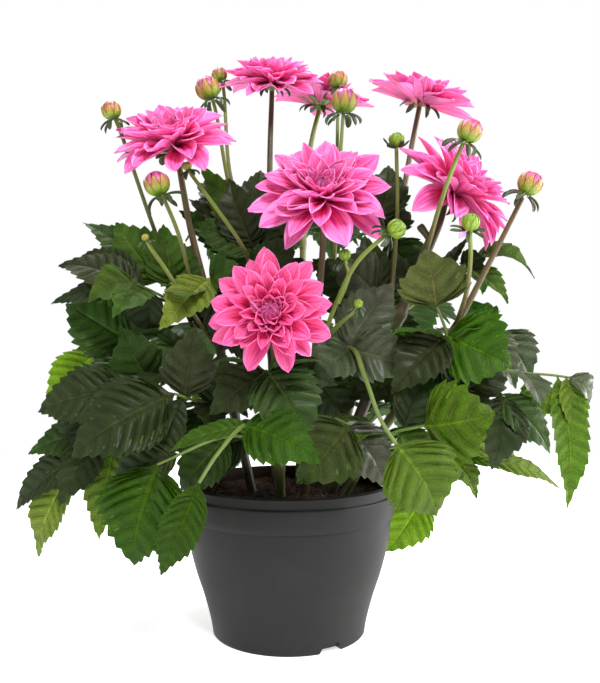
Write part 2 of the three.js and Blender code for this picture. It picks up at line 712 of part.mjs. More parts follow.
// Stalks and buds that grew as one branch
function spraySolid(spray, grow = 0) {
  const start = spray.onTip ? [] : [stemAt(spray.from, spray.height)];
  const stalks = spray.stalks.map((path, index) => {
    const root = index === 0 || !spray.branched ? start : [];
    const points = [...root, ...path.map(point), point(spray.buds[index].at)];
    return rod(points, BUD_STALK_RADIUS, BUD_STALK_RADIUS * STALK_TAPER, {
      sides: BUD_STALK_SIDES, steps: BUD_STALK_STEPS, grow,
    });
  });
  return joined([...stalks, ...spray.buds.map((bud) => budSolid(bud, grow))]);
}

// The direction that a leaflet's upper side turns to, leaning back from the compass angle
function leafletUpperSide(face, lean = LEAFLET_LEAN) {
  const slope = THREE.MathUtils.degToRad(lean);
  return compassDirection(face).multiplyScalar(Math.cos(slope)).addScaledVector(UP, Math.sin(slope));
}

// Two opposite leaflets at a fraction of the midrib, in the terms of the leaflets placed singly
function leafletPair(path, { at, length, drop, spread = PAIR_SPREAD }) {
  const tangent = path.getTangent(at);
  const compass = THREE.MathUtils.radToDeg(Math.atan2(tangent.y, tangent.x));
  const slope = THREE.MathUtils.degToRad(drop);
  return [-spread, spread].map((turn) => ({
    at,
    tip: path.getPoint(at)
      .addScaledVector(compassDirection(compass + turn), length * Math.cos(slope))
      .addScaledVector(UP, -length * Math.sin(slope)).toArray(),
    width: length * LEAFLET_WIDTH_SHARE,
    face: compass + turn,
    arch: PAIR_ARCH,
  }));
}

function leafSolid(leaf, grow = 0) {
  const points = [stemAt(leaf.from, leaf.height), ...leaf.midrib.map(point)];
  const path = new THREE.CatmullRomCurve3(points);
  const stalk = rod(points, PETIOLE_RADIUS, RACHIS_RADIUS, {
    sides: PETIOLE_SIDES, steps: PETIOLE_STEPS * leaf.midrib.length, grow,
  });
  const leaflets = [...leaf.leaflets, ...leaf.pairs.flatMap((pair) => leafletPair(path, pair))];
  const blades = leaflets.map(({ at, tip, width, face, lean, arch }) => {
    const stations = width > BROAD_LEAFLET ? BROAD_STATIONS : SLIM_STATIONS;
    const upperSide = leafletUpperSide(face, lean);
    return blade(path.getPoint(at), point(tip), width, upperSide, {
      arch, thickness: BLADE_THICKNESS, stations, grow,
    });
  });
  return joined([stalk, ...blades]);
}

// A leaf of the back in the same terms as the leaves placed one by one
function backLeaf({ from, height, compass, reach, fall, size }) {
  const joint = stemAt(from, height);
  const outward = compassDirection(compass);
  const middle = joint.clone()
    .addScaledVector(outward, reach * BACK_MIDDLE)
    .addScaledVector(UP, BACK_RISE - fall * BACK_SAG);
  const end = joint.clone().addScaledVector(outward, reach).addScaledVector(UP, BACK_RISE - fall);
  const slope = THREE.MathUtils.degToRad(BACK_DROOP);
  const tip = end.clone()
    .addScaledVector(outward, size * Math.cos(slope))
    .addScaledVector(UP, -size * Math.sin(slope));
  return {
    from,
    height,
    midrib: [middle.toArray(), end.toArray()],
    leaflets: [{
      at: 1, tip: tip.toArray(), width: size * LEAFLET_WIDTH_SHARE, face: compass, arch: BACK_ARCH,
    }],
    pairs: BACK_PAIRS.map((pair) => ({ ...pair, length: pair.length * size })),
  };
}

// The pot's outer and inner side as one closed profile
function potSolid() {
  const outer = [
    [0, 0],
    [BASE_RADIUS - 1, 0],
    [BASE_RADIUS, 1.5],
    ...POT_WALL,
    ...POT_BAND,
    [RIM_RADIUS, POT_RECESS],
    [RIM_RADIUS, POT_HEIGHT - LIP_ROUNDING],
    [RIM_RADIUS - LIP_ROUNDING, POT_HEIGHT],
  ];
  const inner = [
    [RIM_RADIUS - WALL_THICKNESS, POT_HEIGHT],
    [RIM_RADIUS - WALL_THICKNESS, BAND_INSIDE[0]],
    [SHOULDER_RADIUS - WALL_THICKNESS, BAND_INSIDE[1]],
    ...POT_WALL.slice().reverse().map(([r, z]) => [r - WALL_THICKNESS, z]),
    [BASE_RADIUS - WALL_THICKNESS, FLOOR_THICKNESS],
    [0, FLOOR_THICKNESS],
  ];
  const profile = [...outer, ...inner].map(([r, z]) => new THREE.Vector2(r, z));
  const shell = new THREE.LatheGeometry(profile, POT_SIDES);
  shell.rotateX(Math.PI / 2);
  const notches = Array.from({ length: NOTCH_COUNT }, (_, index) => {
    const outline = new THREE.Shape([
      new THREE.Vector2(-NOTCH_WIDTH / 2, -2),
      new THREE.Vector2(NOTCH_WIDTH / 2, -2),
      new THREE.Vector2(NOTCH_TOP_WIDTH / 2, NOTCH_HEIGHT),
      new THREE.Vector2(-NOTCH_TOP_WIDTH / 2, NOTCH_HEIGHT),
    ]);
    const wedge = new THREE.ExtrudeGeometry(outline, { depth: NOTCH_DEPTH, bevelEnabled: false });
    wedge.rotateX(Math.PI / 2);
    wedge.translate(0, BASE_RADIUS + NOTCH_REACH, 0);
    wedge.rotateZ(THREE.MathUtils.degToRad(NOTCH_FIRST_ANGLE - 90 + (360 * index) / NOTCH_COUNT));
    return solidOf(wedge);
  });
  return notches.reduce((pot, notch) => pot.subtract(notch), solidOf(shell));
}

// The soil fills the pot, a gap inside its wall, and rises a little towards the middle
function soilSolid() {
  const inset = WALL_THICKNESS + GAP;
  const profile = [
    [0, FLOOR_THICKNESS + GAP],
    [BASE_RADIUS - inset - 0.6, FLOOR_THICKNESS + GAP],
    ...POT_WALL.map(([r, z]) => [r - inset, z]),
    [SHOULDER_RADIUS - inset - 2, SOIL_SHOULDER],
    [SOIL_EDGE_RADIUS, SOIL_HEIGHT - 1],
    [SOIL_CROWN_RADIUS, SOIL_HEIGHT + 1],
    [0, SOIL_HEIGHT + SOIL_DOME],
  ];
  const geometry = new THREE.LatheGeometry(profile.map(([r, z]) => new THREE.Vector2(r, z)), POT_SIDES);
  geometry.rotateX(Math.PI / 2);
  return solidOf(geometry);
}

const plant = new THREE.Group();
const placed = [];

function boxesMeet(a, b) {
  return [0, 1, 2].every((axis) => a.min[axis] <= b.max[axis] && b.min[axis] <= a.max[axis]);
}

// A piece that touches an earlier one is cut back by the gap, and keeps its main body
function fitted(solid) {
  const box = solid.boundingBox();
  const near = placed.filter((other) => boxesMeet(box, other.boundingBox()));
  const body = near.reduce((left, other) => left.subtract(other), solid);
  return body.decompose().reduce((best, next) => (next.volume() > best.volume() ? next : best));
}

// Adds a piece to the plant. Its grown copy, wider by the gap, keeps later pieces clear of it.
function addPiece(name, look, solid, grown) {
  const mesh = new THREE.Mesh(geometryOf(fitted(solid)), new THREE.MeshStandardMaterial(COLOURS[look]));
  mesh.name = name;
  placed.push(grown);
  plant.add(mesh);
}

for (const [name, stem] of Object.entries(STEMS)) {
  addPiece(name, stem.look, stemSolid(stem), stemSolid(stem, GAP));
}
addPiece('potting_soil', 'soil', soilSolid(), soilSolid());
addPiece('nursery_pot', 'pot', potSolid(), potSolid());
for (const [name, bloom] of Object.entries(BLOOMS)) {
  addPiece(name, 'petal', bloomSolid(bloom), bloomSolid(bloom, GAP));
}
for (const [name, spray] of Object.entries(SPRAYS)) {
  addPiece(name, 'bud', spraySolid(spray), spraySolid(spray, GAP));
}
const backLeaves = Object.fromEntries(
  Object.entries(BACK_LEAVES).map(([name, leaf]) => [name, backLeaf(leaf)]),
);
for (const [name, leaf] of Object.entries({ ...LEAVES, ...backLeaves })) {
  addPiece(name, 'leaf', leafSolid(leaf), leafSolid(leaf, GAP));
}

export default plant;
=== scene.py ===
"""The looks of a potted dahlia with double pink flower heads, in metres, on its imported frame."""
import logging
import math
from dataclasses import dataclass, field
from enum import Enum
from itertools import combinations
from typing import Any, Callable, Sequence

import bpy
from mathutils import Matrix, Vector
import numpy as np


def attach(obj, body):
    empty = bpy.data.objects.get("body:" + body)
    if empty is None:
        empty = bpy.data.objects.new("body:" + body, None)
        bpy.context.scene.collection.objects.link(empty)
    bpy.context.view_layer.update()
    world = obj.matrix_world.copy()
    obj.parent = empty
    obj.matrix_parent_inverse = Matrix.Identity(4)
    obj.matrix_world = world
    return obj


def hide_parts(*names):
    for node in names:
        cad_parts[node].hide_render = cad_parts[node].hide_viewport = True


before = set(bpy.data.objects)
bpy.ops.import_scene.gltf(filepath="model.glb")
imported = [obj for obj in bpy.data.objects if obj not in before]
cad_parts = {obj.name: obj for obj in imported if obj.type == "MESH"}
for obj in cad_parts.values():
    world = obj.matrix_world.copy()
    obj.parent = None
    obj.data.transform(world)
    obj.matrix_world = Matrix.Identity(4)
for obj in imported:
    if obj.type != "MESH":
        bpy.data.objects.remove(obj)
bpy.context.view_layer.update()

Array, Random = np.ndarray, np.random.Generator
Triple = tuple[float, float, float]
Material, Mesh, Piece, Socket = bpy.types.Material, bpy.types.Mesh, bpy.types.Object, bpy.types.NodeSocket

LOG = logging.getLogger("dahlia")
MM = 0.001
UP = np.array([0.0, 0.0, 1.0])
GOLDEN_ANGLE = math.pi * (3 - math.sqrt(5))
ROOT_BODY = "root"
SHARP_EDGE = math.radians(50)

# A leaflet's width over its length, and its upper side's angle above the level, in degrees
WIDTH_SHARE = 0.58
PAIR_LEAN = 49

# Heights, depths and thicknesses that several pieces share, in millimetres, and the sepals' colour
SOIL_HEIGHT = 125
STEM_DEPTH = 12
RECEPTACLE_HEIGHT = 9
SEAT_GAP = 0.3
SEPAL_THICKNESS = 0.7
SEPAL_GREEN = (0.03, 0.062, 0.014)

# Where the seeds of each kind of piece start
CALYX_SEED, SPRAY_SEED, LEAF_SEED, LEAF_SEED_STEP = 500, 900, 2000, 7


def unit(vector: Array) -> Array:
    """A vector's direction, one long; an array of vectors gives an array of directions."""
    return vector / np.maximum(np.linalg.norm(vector, axis=-1, keepdims=True), 1e-12)


def compass(degrees: float) -> Array:
    """The level direction at a compass angle counted from +X towards +Y."""
    return np.array([math.cos(math.radians(degrees)), math.sin(math.radians(degrees)), 0.0])


def show(name: str, data: Any) -> Piece:
    """A new object of the scene that holds the data."""
    made = bpy.data.objects.new(name, data)
    bpy.context.scene.collection.objects.link(made)
    return made


def solid(name: str, points: Any, faces: Sequence[Any], *finishes: Material, smooth: bool = True) -> Mesh:
    """A mesh from points and faces.

    Args:
        name: the mesh's name.
        points: its vertices in millimetres.
        faces: vertex numbers, a row a face.
        finishes: its materials, in the order of their numbers.
        smooth: whether its faces are shaded smooth.

    Returns:
        The mesh, in metres.
    """
    mesh = bpy.data.meshes.new(name)
    mesh.from_pydata((np.array(points, float) * MM).tolist(), [], faces)
    for finish in finishes:
        mesh.materials.append(finish)
    mesh.polygons.foreach_set("use_smooth", np.full(len(mesh.polygons), smooth))
    return mesh


def circle(count: int) -> Array:
    """Even angles round a circle, in radians."""
    return np.linspace(0, 2 * math.pi, count, endpoint=False)


def smooth_step(low: float, high: float, values: Any) -> Any:
    """0 below low, 1 above high, and a smooth rise between them."""
    share = np.clip((np.asarray(values, float) - low) / (high - low), 0, 1)
    return share * share * (3 - 2 * share)


class Spline:
    """A smooth curve through points, whose knots are spaced by the root of their distances."""

    def __init__(self, points: Sequence[Sequence[float]]) -> None:
        """Args: points: what the curve passes, in order, in millimetres."""
        inner = np.array(points, float)
        first, last = 2 * inner[0] - inner[1], 2 * inner[-1] - inner[-2]
        self.knots = np.vstack([first, inner, last])
        self.stretches = len(inner) - 1

    def point(self, share: float) -> Array:
        """The place at a share of the stretches, from 0 at the start to 1 at the end."""
        place = min(max(share, 0.0), 1.0) * self.stretches
        index = min(int(place), self.stretches - 1)
        a, b, c, d = self.knots[index:index + 4]
        before, here, after = (max(np.linalg.norm(q - p), 1e-4) ** 0.5 for p, q in ((a, b), (b, c), (c, d)))
        leave = ((b - a) / before - (c - a) / (before + here) + (c - b) / here) * here
        arrive = ((c - b) / here - (d - b) / (here + after) + (d - c) / after) * here
        t = place - index
        square = -3 * b + 3 * c - 2 * leave - arrive
        cube = 2 * b - 2 * c + leave + arrive
        return b + leave * t + square * t * t + cube * t ** 3

    def tangent(self, share: float) -> Array:
        """The direction of travel at a share of the stretches."""
        return unit(self.point(share + 1e-3) - self.point(share - 1e-3))

    def even(self, count: int) -> Array:
        """Points at equal distances along the curve."""
        fine = np.array([self.point(t) for t in np.linspace(0, 1, 12 * self.stretches + 60)])
        run = np.concatenate([[0], np.cumsum(np.linalg.norm(np.diff(fine, axis=0), axis=1))])
        wanted = np.linspace(0, run[-1], count)
        return np.stack([np.interp(wanted, run, fine[:, k]) for k in range(3)], axis=1)


def sheet_faces(rows: int, columns: int) -> Array:
    """The quads of a closed thin sheet: its upper side, its underside and the rim between them.

    Args:
        rows: stations along the sheet.
        columns: stations across it.

    Returns:
        One row of four vertex numbers a face; the underside's vertices follow the upper side's.
    """
    number = np.arange(rows * columns).reshape(rows, columns)
    top = np.stack([number[:-1, :-1], number[1:, :-1], number[1:, 1:], number[:-1, 1:]], -1).reshape(-1, 4)
    under = top[:, ::-1] + rows * columns
    border = np.concatenate([number[:-1, 0], number[-1, :-1], number[:0:-1, -1], number[0, :0:-1]])
    ahead = np.roll(border, -1)
    rim = np.stack([ahead, border, border + rows * columns, ahead + rows * columns], -1)
    return np.concatenate([top, under, rim])


class Shell:
    """Closed sheets and tubes collected for one mesh, with their colours and traits."""

    def __init__(self) -> None:
        """Starts empty."""
        self.points, self.uv, self.tone, self.trait = [], [], [], []
        self.faces, self.finish, self.size = [], [], 0

    def add(self, points: Array, faces: Array, uv: Array, tone: Any, trait: Any, finish: int) -> None:
        """Adds one closed body.

        Args:
            points: its vertices in millimetres.
            faces: vertex numbers within it, a row a face.
            uv: a pair a vertex.
            tone: its colour, one for all or one a vertex.
            trait: random number, age or gloss, and underside share, one for all or one a vertex.
            finish: number of the material that it takes.
        """
        self.points.append(points)
        self.faces.extend((faces + self.size).tolist())
        self.finish.extend([finish] * len(faces))
        self.uv.append(uv)
        for kept, given in ((self.tone, tone), (self.trait, trait)):
            kept.append(np.broadcast_to(np.asarray(given, float), (len(points), 3)))
        self.size += len(points)

    def sheet(self, grid: Array, thick: Any, uv: Array, tone: Any, trait: Sequence[float]) -> None:
        """Adds a thin sheet whose upper side follows a grid of points.

        Args:
            grid: rows by columns of points.
            thick: thickness, one number or one a point.
            uv: rows by columns of pairs.
            tone: the sheet's colour.
            trait: random number of the sheet, and its age or gloss.
        """
        rows, columns = grid.shape[:2]
        normal = unit(np.cross(np.gradient(grid, axis=0), np.gradient(grid, axis=1)))
        depth = np.broadcast_to(np.asarray(thick, float), (rows, columns))[..., None]
        points = np.concatenate([grid.reshape(-1, 3), (grid - normal * depth).reshape(-1, 3)])
        traits = np.zeros((2 * rows * columns, 3))
        traits[:, :2] = trait
        traits[rows * columns:, 2] = 1
        self.add(points, sheet_faces(rows, columns), np.tile(uv.reshape(-1, 2), (2, 1)), tone, traits, 0)

    def tube(self, path: Array, radii: Array, sides: int, tone: Any, trait: Sequence[float],
             finish: int = 0, ridges: float = 0.0) -> None:
        """Adds a closed round rod along a path.

        Args:
            path: its middle line's points.
            radii: its radius at each of them.
            sides: corners of its section.
            tone: its colour.
            trait: random number, and age or gloss.
            finish: number of the material that it takes.
            ridges: how far five ridges stand out, as a share of the radius.
        """
        steps = len(path)
        tangent = unit(np.gradient(path, axis=0))
        side = unit(np.cross(tangent[0], UP if abs(tangent[0][2]) < 0.9 else np.array([1.0, 0, 0])))
        angle = circle(sides)
        swell = 1 + ridges * np.cos(5 * angle)
        rings = []
        for place, along, radius in zip(path, tangent, radii):
            side = unit(side - along * np.dot(side, along))
            other = np.cross(along, side)
            spokes = np.cos(angle)[:, None] * side + np.sin(angle)[:, None] * other
            rings.append(place + spokes * (radius * swell)[:, None])
        points = np.concatenate([*rings, path[:1], path[-1:]])
        number = np.arange(steps * sides).reshape(steps, sides)
        ahead = np.roll(number, -1, axis=1)
        wall = np.stack([number[:-1], ahead[:-1], ahead[1:], number[1:]], -1).reshape(-1, 4)
        foot, head = np.full(sides, steps * sides), np.full(sides, steps * sides + 1)
        start = np.stack([ahead[0], number[0], foot, foot], -1)
        end = np.stack([number[-1], ahead[-1], head, head], -1)
        share = np.repeat(np.linspace(0, 1, steps), sides)
        round_ = np.tile(0.5 + 0.5 * np.cos(angle), steps)
        uv = np.stack([np.append(share, [0, 1]), np.append(round_, [0.5, 0.5])], -1)
        self.add(points, np.concatenate([wall, start, end]), uv, tone, [*trait, 0], finish)
        for face in self.faces[-2 * sides:]:
            face.pop()

    def piece(self, name: str, finishes: Sequence[Material]) -> Piece:
        """Turns what was collected into one object.

        Args:
            name: the object's name.
            finishes: its materials, in the order of their numbers.

        Returns:
            The linked object, at the origin and in metres.
        """
        mesh = solid(name, np.concatenate(self.points), self.faces, *finishes)
        corners = np.empty(len(mesh.loops), np.int32)
        mesh.loops.foreach_get("vertex_index", corners)
        layer = mesh.uv_layers.new(name="surface")
        layer.data.foreach_set("uv", np.concatenate(self.uv)[corners].astype(np.float32).ravel())
        for title, values in (("tone", self.tone), ("trait", self.trait)):
            whole = np.concatenate(values)
            colour = np.concatenate([whole, np.ones((len(whole), 1))], axis=1).astype(np.float32)
            mesh.attributes.new(title, "FLOAT_COLOR", "POINT").data.foreach_set("color", colour.ravel())
        mesh.polygons.foreach_set("material_index", np.array(self.finish, np.int32))
        mesh.set_sharp_from_angle(angle=SHARP_EDGE)
        mesh.update()
        return show(name, mesh)


def surface_pairs(along: Array, across: Array) -> Array:
    """UV pairs of stations along a sheet and across it, the second counted from -1 to 1."""
    return np.stack(np.broadcast_arrays(along, across * 0.5 + 0.5), -1)


def rotate(x: Array, y: Array, angle: Any) -> tuple[Array, Array]:
    """Two numbers of each point after a turn by its angle, in radians."""
    return x * np.cos(angle) - y * np.sin(angle), x * np.sin(angle) + y * np.cos(angle)


def tube_tones(stations: Array, sides: int) -> Array:
    """A colour for each vertex of a tube from one for each of its stations."""
    return np.concatenate([np.repeat(stations, sides, axis=0), stations[:1], stations[-1:]])


def settle(piece: Piece, slot: str, *nodes: str) -> None:
    """Makes a piece ride on the one body and stand for its CAD nodes.

    Args:
        piece: the finished object.
        slot: not used.
        nodes: the CAD nodes that it stands for.
    """
    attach(piece, ROOT_BODY)
    if nodes:
        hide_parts(*nodes)
    triangles = sum(len(face.vertices) - 2 for face in piece.data.polygons)
    LOG.info("%s: %d triangles", piece.name, triangles)


def maths(operation: str, swapped: bool = False) -> Callable[..., "Value"]:
    """A method that puts a value and what it is given into a Math node.

    Args:
        operation: what the node does.
        swapped: whether the value comes last.

    Returns:
        The method, which gives the node's result.
    """

    def method(self: "Value", *others: Any) -> "Value":
        """The node's result."""
        values = (*others, self) if swapped else (self, *others)
        node = self.graph.node("ShaderNodeMath", {"operation": operation}, dict(enumerate(values)))
        return Value(self.graph, node.outputs[0])

    return method


class Value:
    """A number in a material: Python's operators on it add Math nodes."""

    def __init__(self, graph: "Graph", socket: Socket) -> None:
        """Args: graph: the material's nodes. socket: the output that gives the number."""
        self.graph = graph
        self.socket = socket

    __add__ = __radd__ = maths("ADD")
    __mul__ = __rmul__ = maths("MULTIPLY")
    __sub__, __rsub__ = maths("SUBTRACT"), maths("SUBTRACT", swapped=True)
    __pow__, __abs__ = maths("POWER"), maths("ABSOLUTE")
    fraction, sine = maths("FRACT"), maths("SINE")

    def ramp(self, low: float, high: float) -> "Value":
        """0 at low and 1 at high, smooth between them; low may be the higher number."""
        node = self.graph.node("ShaderNodeMapRange", {"interpolation_type": "SMOOTHSTEP"},
                               {0: self.socket, 1: low, 2: high, 3: 0.0, 4: 1.0})
        return Value(self.graph, node.outputs[0])


class Graph:
    """A material under construction, with one main shader."""

    def __init__(self, name: str) -> None:
        """Args: name: the material's name."""
        self.material = bpy.data.materials.new(name)
        self.material.use_nodes = True
        self.tree = self.material.node_tree
        self.shader = self.tree.nodes["Principled BSDF"]

    def node(self, kind: str, settings: dict[str, Any] | None = None,
             sockets: dict[Any, Any] | None = None) -> Any:
        """Adds a node.

        Args:
            kind: its type.
            settings: its properties, set before its sockets.
            sockets: values or links of its inputs, by name or number.

        Returns:
            The node.
        """
        made = self.tree.nodes.new(kind)
        for key, value in (settings or {}).items():
            setattr(made, key, value)
        for key, value in (sockets or {}).items():
            self.feed(made.inputs[key], value)
        return made

    def feed(self, socket: Socket, value: Any) -> None:
        """Links a socket to a value, another socket or a plain number or colour."""
        if isinstance(value, Value):
            value = value.socket
        if isinstance(value, Socket):
            self.tree.links.new(value, socket)
        elif isinstance(value, (tuple, list)) and len(value) == 3 and len(socket.default_value) == 4:
            socket.default_value = (*value, 1.0)
        else:
            socket.default_value = value

    def attribute(self, name: str) -> tuple[Socket, "Value", "Value", "Value"]:
        """A vertex attribute as a colour and as its three numbers."""
        source = self.node("ShaderNodeAttribute", {"attribute_name": name})
        return (source.outputs["Color"], *self.split(source.outputs["Vector"]))

    def split(self, vector: Socket) -> tuple["Value", "Value", "Value"]:
        """A vector's three numbers."""
        made = self.node("ShaderNodeSeparateXYZ", sockets={0: vector})
        return tuple(Value(self, out) for out in made.outputs)

    def join(self, *numbers: Any) -> Socket:
        """A vector of three numbers."""
        return self.node("ShaderNodeCombineXYZ", sockets=dict(enumerate(numbers))).outputs[0]

    def surface(self) -> tuple["Value", "Value"]:
        """How far along and across the surface a place lies."""
        along, across, _ = self.split(self.node("ShaderNodeTexCoord").outputs["UV"])
        return along, across

    def place(self) -> Socket:
        """The place in the frame, in metres."""
        return self.node("ShaderNodeTexCoord").outputs["Object"]

    def mix(self, share: Any, low: Any, high: Any, blend: str = "MIX") -> Socket:
        """A colour between two, or their product where blend says so."""
        kind = {"data_type": "RGBA", "blend_type": blend}
        return self.node("ShaderNodeMix", kind, {0: share, 6: low, 7: high}).outputs[2]

    def tint(self, colour: Any, by: Any) -> Socket:
        """A colour times another."""
        return self.mix(1.0, colour, by, "MULTIPLY")

    def noise(self, where: Any, scale: float, detail: float = 3.0, rough: float = 0.55) -> "Value":
        """Soft noise from 0 to 1."""
        sockets = {"Vector": where, "Scale": scale, "Detail": detail, "Roughness": rough}
        return Value(self, self.node("ShaderNodeTexNoise", sockets=sockets).outputs[0])

    def cells(self, where: Any, scale: float) -> "Value":
        """The distance to the nearest edge of a cell."""
        kind = {"feature": "DISTANCE_TO_EDGE"}
        made = self.node("ShaderNodeTexVoronoi", kind, {"Vector": where, "Scale": scale})
        return Value(self, made.outputs["Distance"])

    def bump(self, height: Any, depth: float, strength: float = 1.0) -> None:
        """Gives the main shader a fine relief, depth metres deep."""
        sockets = {"Strength": strength, "Distance": depth, "Height": height}
        self.set(Normal=self.node("ShaderNodeBump", sockets=sockets).outputs[0])

    def set(self, **sockets: Any) -> None:
        """Sets the main shader's inputs; an underscore in a name stands for a space."""
        for name, value in sockets.items():
            self.feed(self.shader.inputs[name.replace("_", " ")], value)


@dataclass(frozen=True)
class PetalFinish:
    """Pink petals: coral near the base, mauve at the edges, with fine darker streaks."""

    base: Triple = (0.70, 0.010, 0.050)
    body: Triple = (1.0, 0.11, 0.35)
    edge: Triple = (1.0, 0.32, 0.68)
    streak: Triple = (0.62, 0.012, 0.28)
    gold: Triple = (0.42, 0.16, 0.012)

    def build(self) -> Material:
        """Returns the material."""
        graph = Graph("petal")
        along, across = graph.surface()
        chance, age, under = graph.attribute("trait")[1:]
        side = abs(across * 2 - 1)
        grain = graph.join(along * 1.8 + chance * 37, across * 13, chance * 91)
        streaks = graph.noise(grain, 1.0, 2.0)
        cloud = graph.noise(graph.place(), 90.0, 2.0)
        colour = graph.mix(along.ramp(0.05, 0.62) * (1 - age * 0.3), self.base, self.body)
        rim = along.ramp(0.35, 1.05) * 0.6 + side.ramp(0.45, 1.0) * 0.8
        colour = graph.mix(rim + (cloud - 0.5) * 0.3, colour, self.edge)
        colour = graph.mix(streaks.ramp(0.46, 0.6) * 0.62, colour, self.streak)
        colour = graph.mix(along.ramp(0.16, 0.0) * 0.8, colour, self.gold)
        colour = graph.mix(under * 0.25, colour, self.edge)
        tone = graph.attribute("tone")[0]
        graph.set(Base_Color=graph.tint(colour, tone), Roughness=0.5, Specular_IOR_Level=0.3)
        graph.set(Subsurface_Weight=0.3, Subsurface_Scale=0.003, Subsurface_Radius=(1.0, 0.2, 0.3))
        graph.bump(streaks + (across * 44).sine() * 0.35, 0.0005, 0.6)
        return graph.material


@dataclass(frozen=True)
class LeafFinish:
    """Green leaflets with pale veins, a fine net between them and a lighter underside, with painted shade in
    the creases beside the veins and a painted highlight on the swells between them.
    """

    vein: Triple = (2.9, 2.4, 2.8)
    # The next two factors are painted light: shade that darkens the creases beside the veins, and a highlight
    # that lightens the swells between them.
    crease_shade: Triple = (0.45, 0.45, 0.45)
    swell: Triple = (1.5, 1.45, 1.6)
    back: Triple = (0.075, 0.12, 0.035)

    def build(self) -> Material:
        """Returns the material."""
        graph = Graph("leaf")
        along, across = graph.surface()
        tone = graph.attribute("tone")[0]
        gloss, under = graph.attribute("trait")[2:]
        place = graph.place()
        side = abs(across * 2 - 1)
        beside = abs((along + 0.5).fraction() - 0.5)
        lateral = beside.ramp(0.085, 0.02) * side.ramp(1.0, 0.5)
        midrib = side.ramp(0.07, 0.02)
        veins = lateral * 0.6 + midrib
        # Painted shade along the creases beside the lateral veins, on the upper side only, and a painted
        # highlight on the swells between the veins.
        crease_shade = beside.ramp(0.26, 0.06) * side.ramp(1.0, 0.8) * (1 - under)
        swell = beside.ramp(0.24, 0.5)
        net = graph.cells(place, 420.0)
        cloud = graph.noise(place, 60.0, 3.0)
        speckle = graph.noise(place, 900.0, 2.0)
        shade = graph.mix(cloud, (0.55, 0.55, 0.55), (1.45, 1.45, 1.45))
        colour = graph.tint(tone, shade)
        # Darken the creases with painted shade and lighten the swells with a painted highlight.
        colour = graph.mix(crease_shade * 0.42, colour, graph.tint(colour, self.crease_shade))
        colour = graph.mix(swell * 0.4, colour, graph.tint(colour, self.swell))
        paler = graph.tint(colour, self.vein)
        colour = graph.mix(net.ramp(0.09, 0.0) * 0.3 + veins * 0.7, colour, paler)
        colour = graph.mix(under * 0.6, colour, self.back)
        rough = 0.48 + speckle * 0.14 + under * 0.12
        graph.set(Base_Color=colour, Roughness=rough, Specular_IOR_Level=0.08)
        graph.set(Coat_Weight=gloss * (0.3 + cloud * 0.8), Coat_Roughness=0.36)
        graph.set(Subsurface_Weight=0.1, Subsurface_Scale=0.003, Subsurface_Radius=(0.4, 1.0, 0.15))
        graph.bump(net.ramp(0.0, 0.25) * 0.5 + speckle * 0.2 - veins * 0.9, 0.0007, 0.7)
        return graph.material


@dataclass(frozen=True)
class StalkFinish:
    """Stems and stalks: the attribute's colour with long streaks and a few pores."""

    name: str
    second: Triple
    patch: float

    def build(self) -> Material:
        """Returns the material."""
        graph = Graph(self.name)
        along, across = graph.surface()
        tone = graph.attribute("tone")[0]
        chance = graph.attribute("trait")[1]
        place = graph.place()
        streaks = graph.noise(graph.join(along * 6 + chance * 40, across * 9, chance * 17), 1.0, 3.0)
        patches = graph.noise(place, 55.0, 3.0)
        colour = graph.mix(patches.ramp(0.42, 0.62) * self.patch, tone, self.second)
        colour = graph.mix(streaks * 0.7, colour, graph.mix(0.5, colour, (0.0, 0.0, 0.0)))
        graph.set(Base_Color=colour, Roughness=0.38 + patches * 0.2)
        graph.bump(streaks, 0.0004, 0.5)
        return graph.material


@dataclass(frozen=True)
class BudFinish:
    """Bud scales: green at the base, paler and then pink or tan towards the tip."""

    foot: Triple = (0.07, 0.16, 0.005)
    body: Triple = (0.21, 0.32, 0.014)
    rim: Triple = (0.45, 0.3, 0.4)

    def build(self) -> Material:
        """Returns the material."""
        graph = Graph("bud")
        along, across = graph.surface()
        tone = graph.attribute("tone")[0]
        chance = graph.attribute("trait")[1]
        side = abs(across * 2 - 1)
        streaks = graph.noise(graph.join(along * 2 + chance * 29, across * 13, chance * 53), 1.0, 3.0)
        colour = graph.mix(along.ramp(0.0, 0.35), self.foot, self.body)
        colour = graph.mix(along.ramp(0.36, 0.72) * (0.7 + streaks * 0.6), colour, tone)
        dark = graph.tint(tone, self.rim)
        colour = graph.mix(side.ramp(0.62, 0.95) * along.ramp(0.1, 0.6) * 0.85, colour, dark)
        graph.set(Base_Color=colour, Roughness=0.42)
        graph.set(Subsurface_Weight=0.2, Subsurface_Scale=0.003, Subsurface_Radius=(1.0, 0.8, 0.2))
        graph.bump(streaks, 0.0003, 0.5)
        return graph.material


@dataclass(frozen=True)
class PotFinish:
    """Dark satin plastic with a faint moulded grain and a few rubbed patches."""

    colour: Triple = (0.014, 0.0137, 0.0133)
    rubbed: Triple = (0.026, 0.0255, 0.025)
    soil: Triple = (0.022, 0.011, 0.006)
    inside: float = 0.0958
    soil_from: float = 0.123
    soil_full: float = 0.124
    blur: float = 0.0006

    def build(self) -> Material:
        """Returns the material."""
        graph = Graph("pot_plastic")
        place = graph.place()
        grain = graph.noise(place, 1400.0, 2.0)
        cloud = graph.noise(place, 22.0, 4.0)
        colour = graph.mix(cloud.ramp(0.45, 0.8) * 0.4, self.colour, self.rubbed)
        x, y, z = graph.split(place)
        wall = ((x * x + y * y) ** 0.5).ramp(self.inside, self.inside - self.blur)
        inner = wall * z.ramp(self.soil_from, self.soil_full)
        marks = graph.noise(place, 300.0, 4.0).ramp(0.3, 0.45)
        colour = graph.mix(inner * marks, colour, self.soil)
        graph.set(Base_Color=colour, Roughness=0.42 + cloud * 0.16 + grain * 0.05, Specular_IOR_Level=0.18)
        graph.bump(grain + cloud * 0.6, 0.0002, 0.35)
        return graph.material


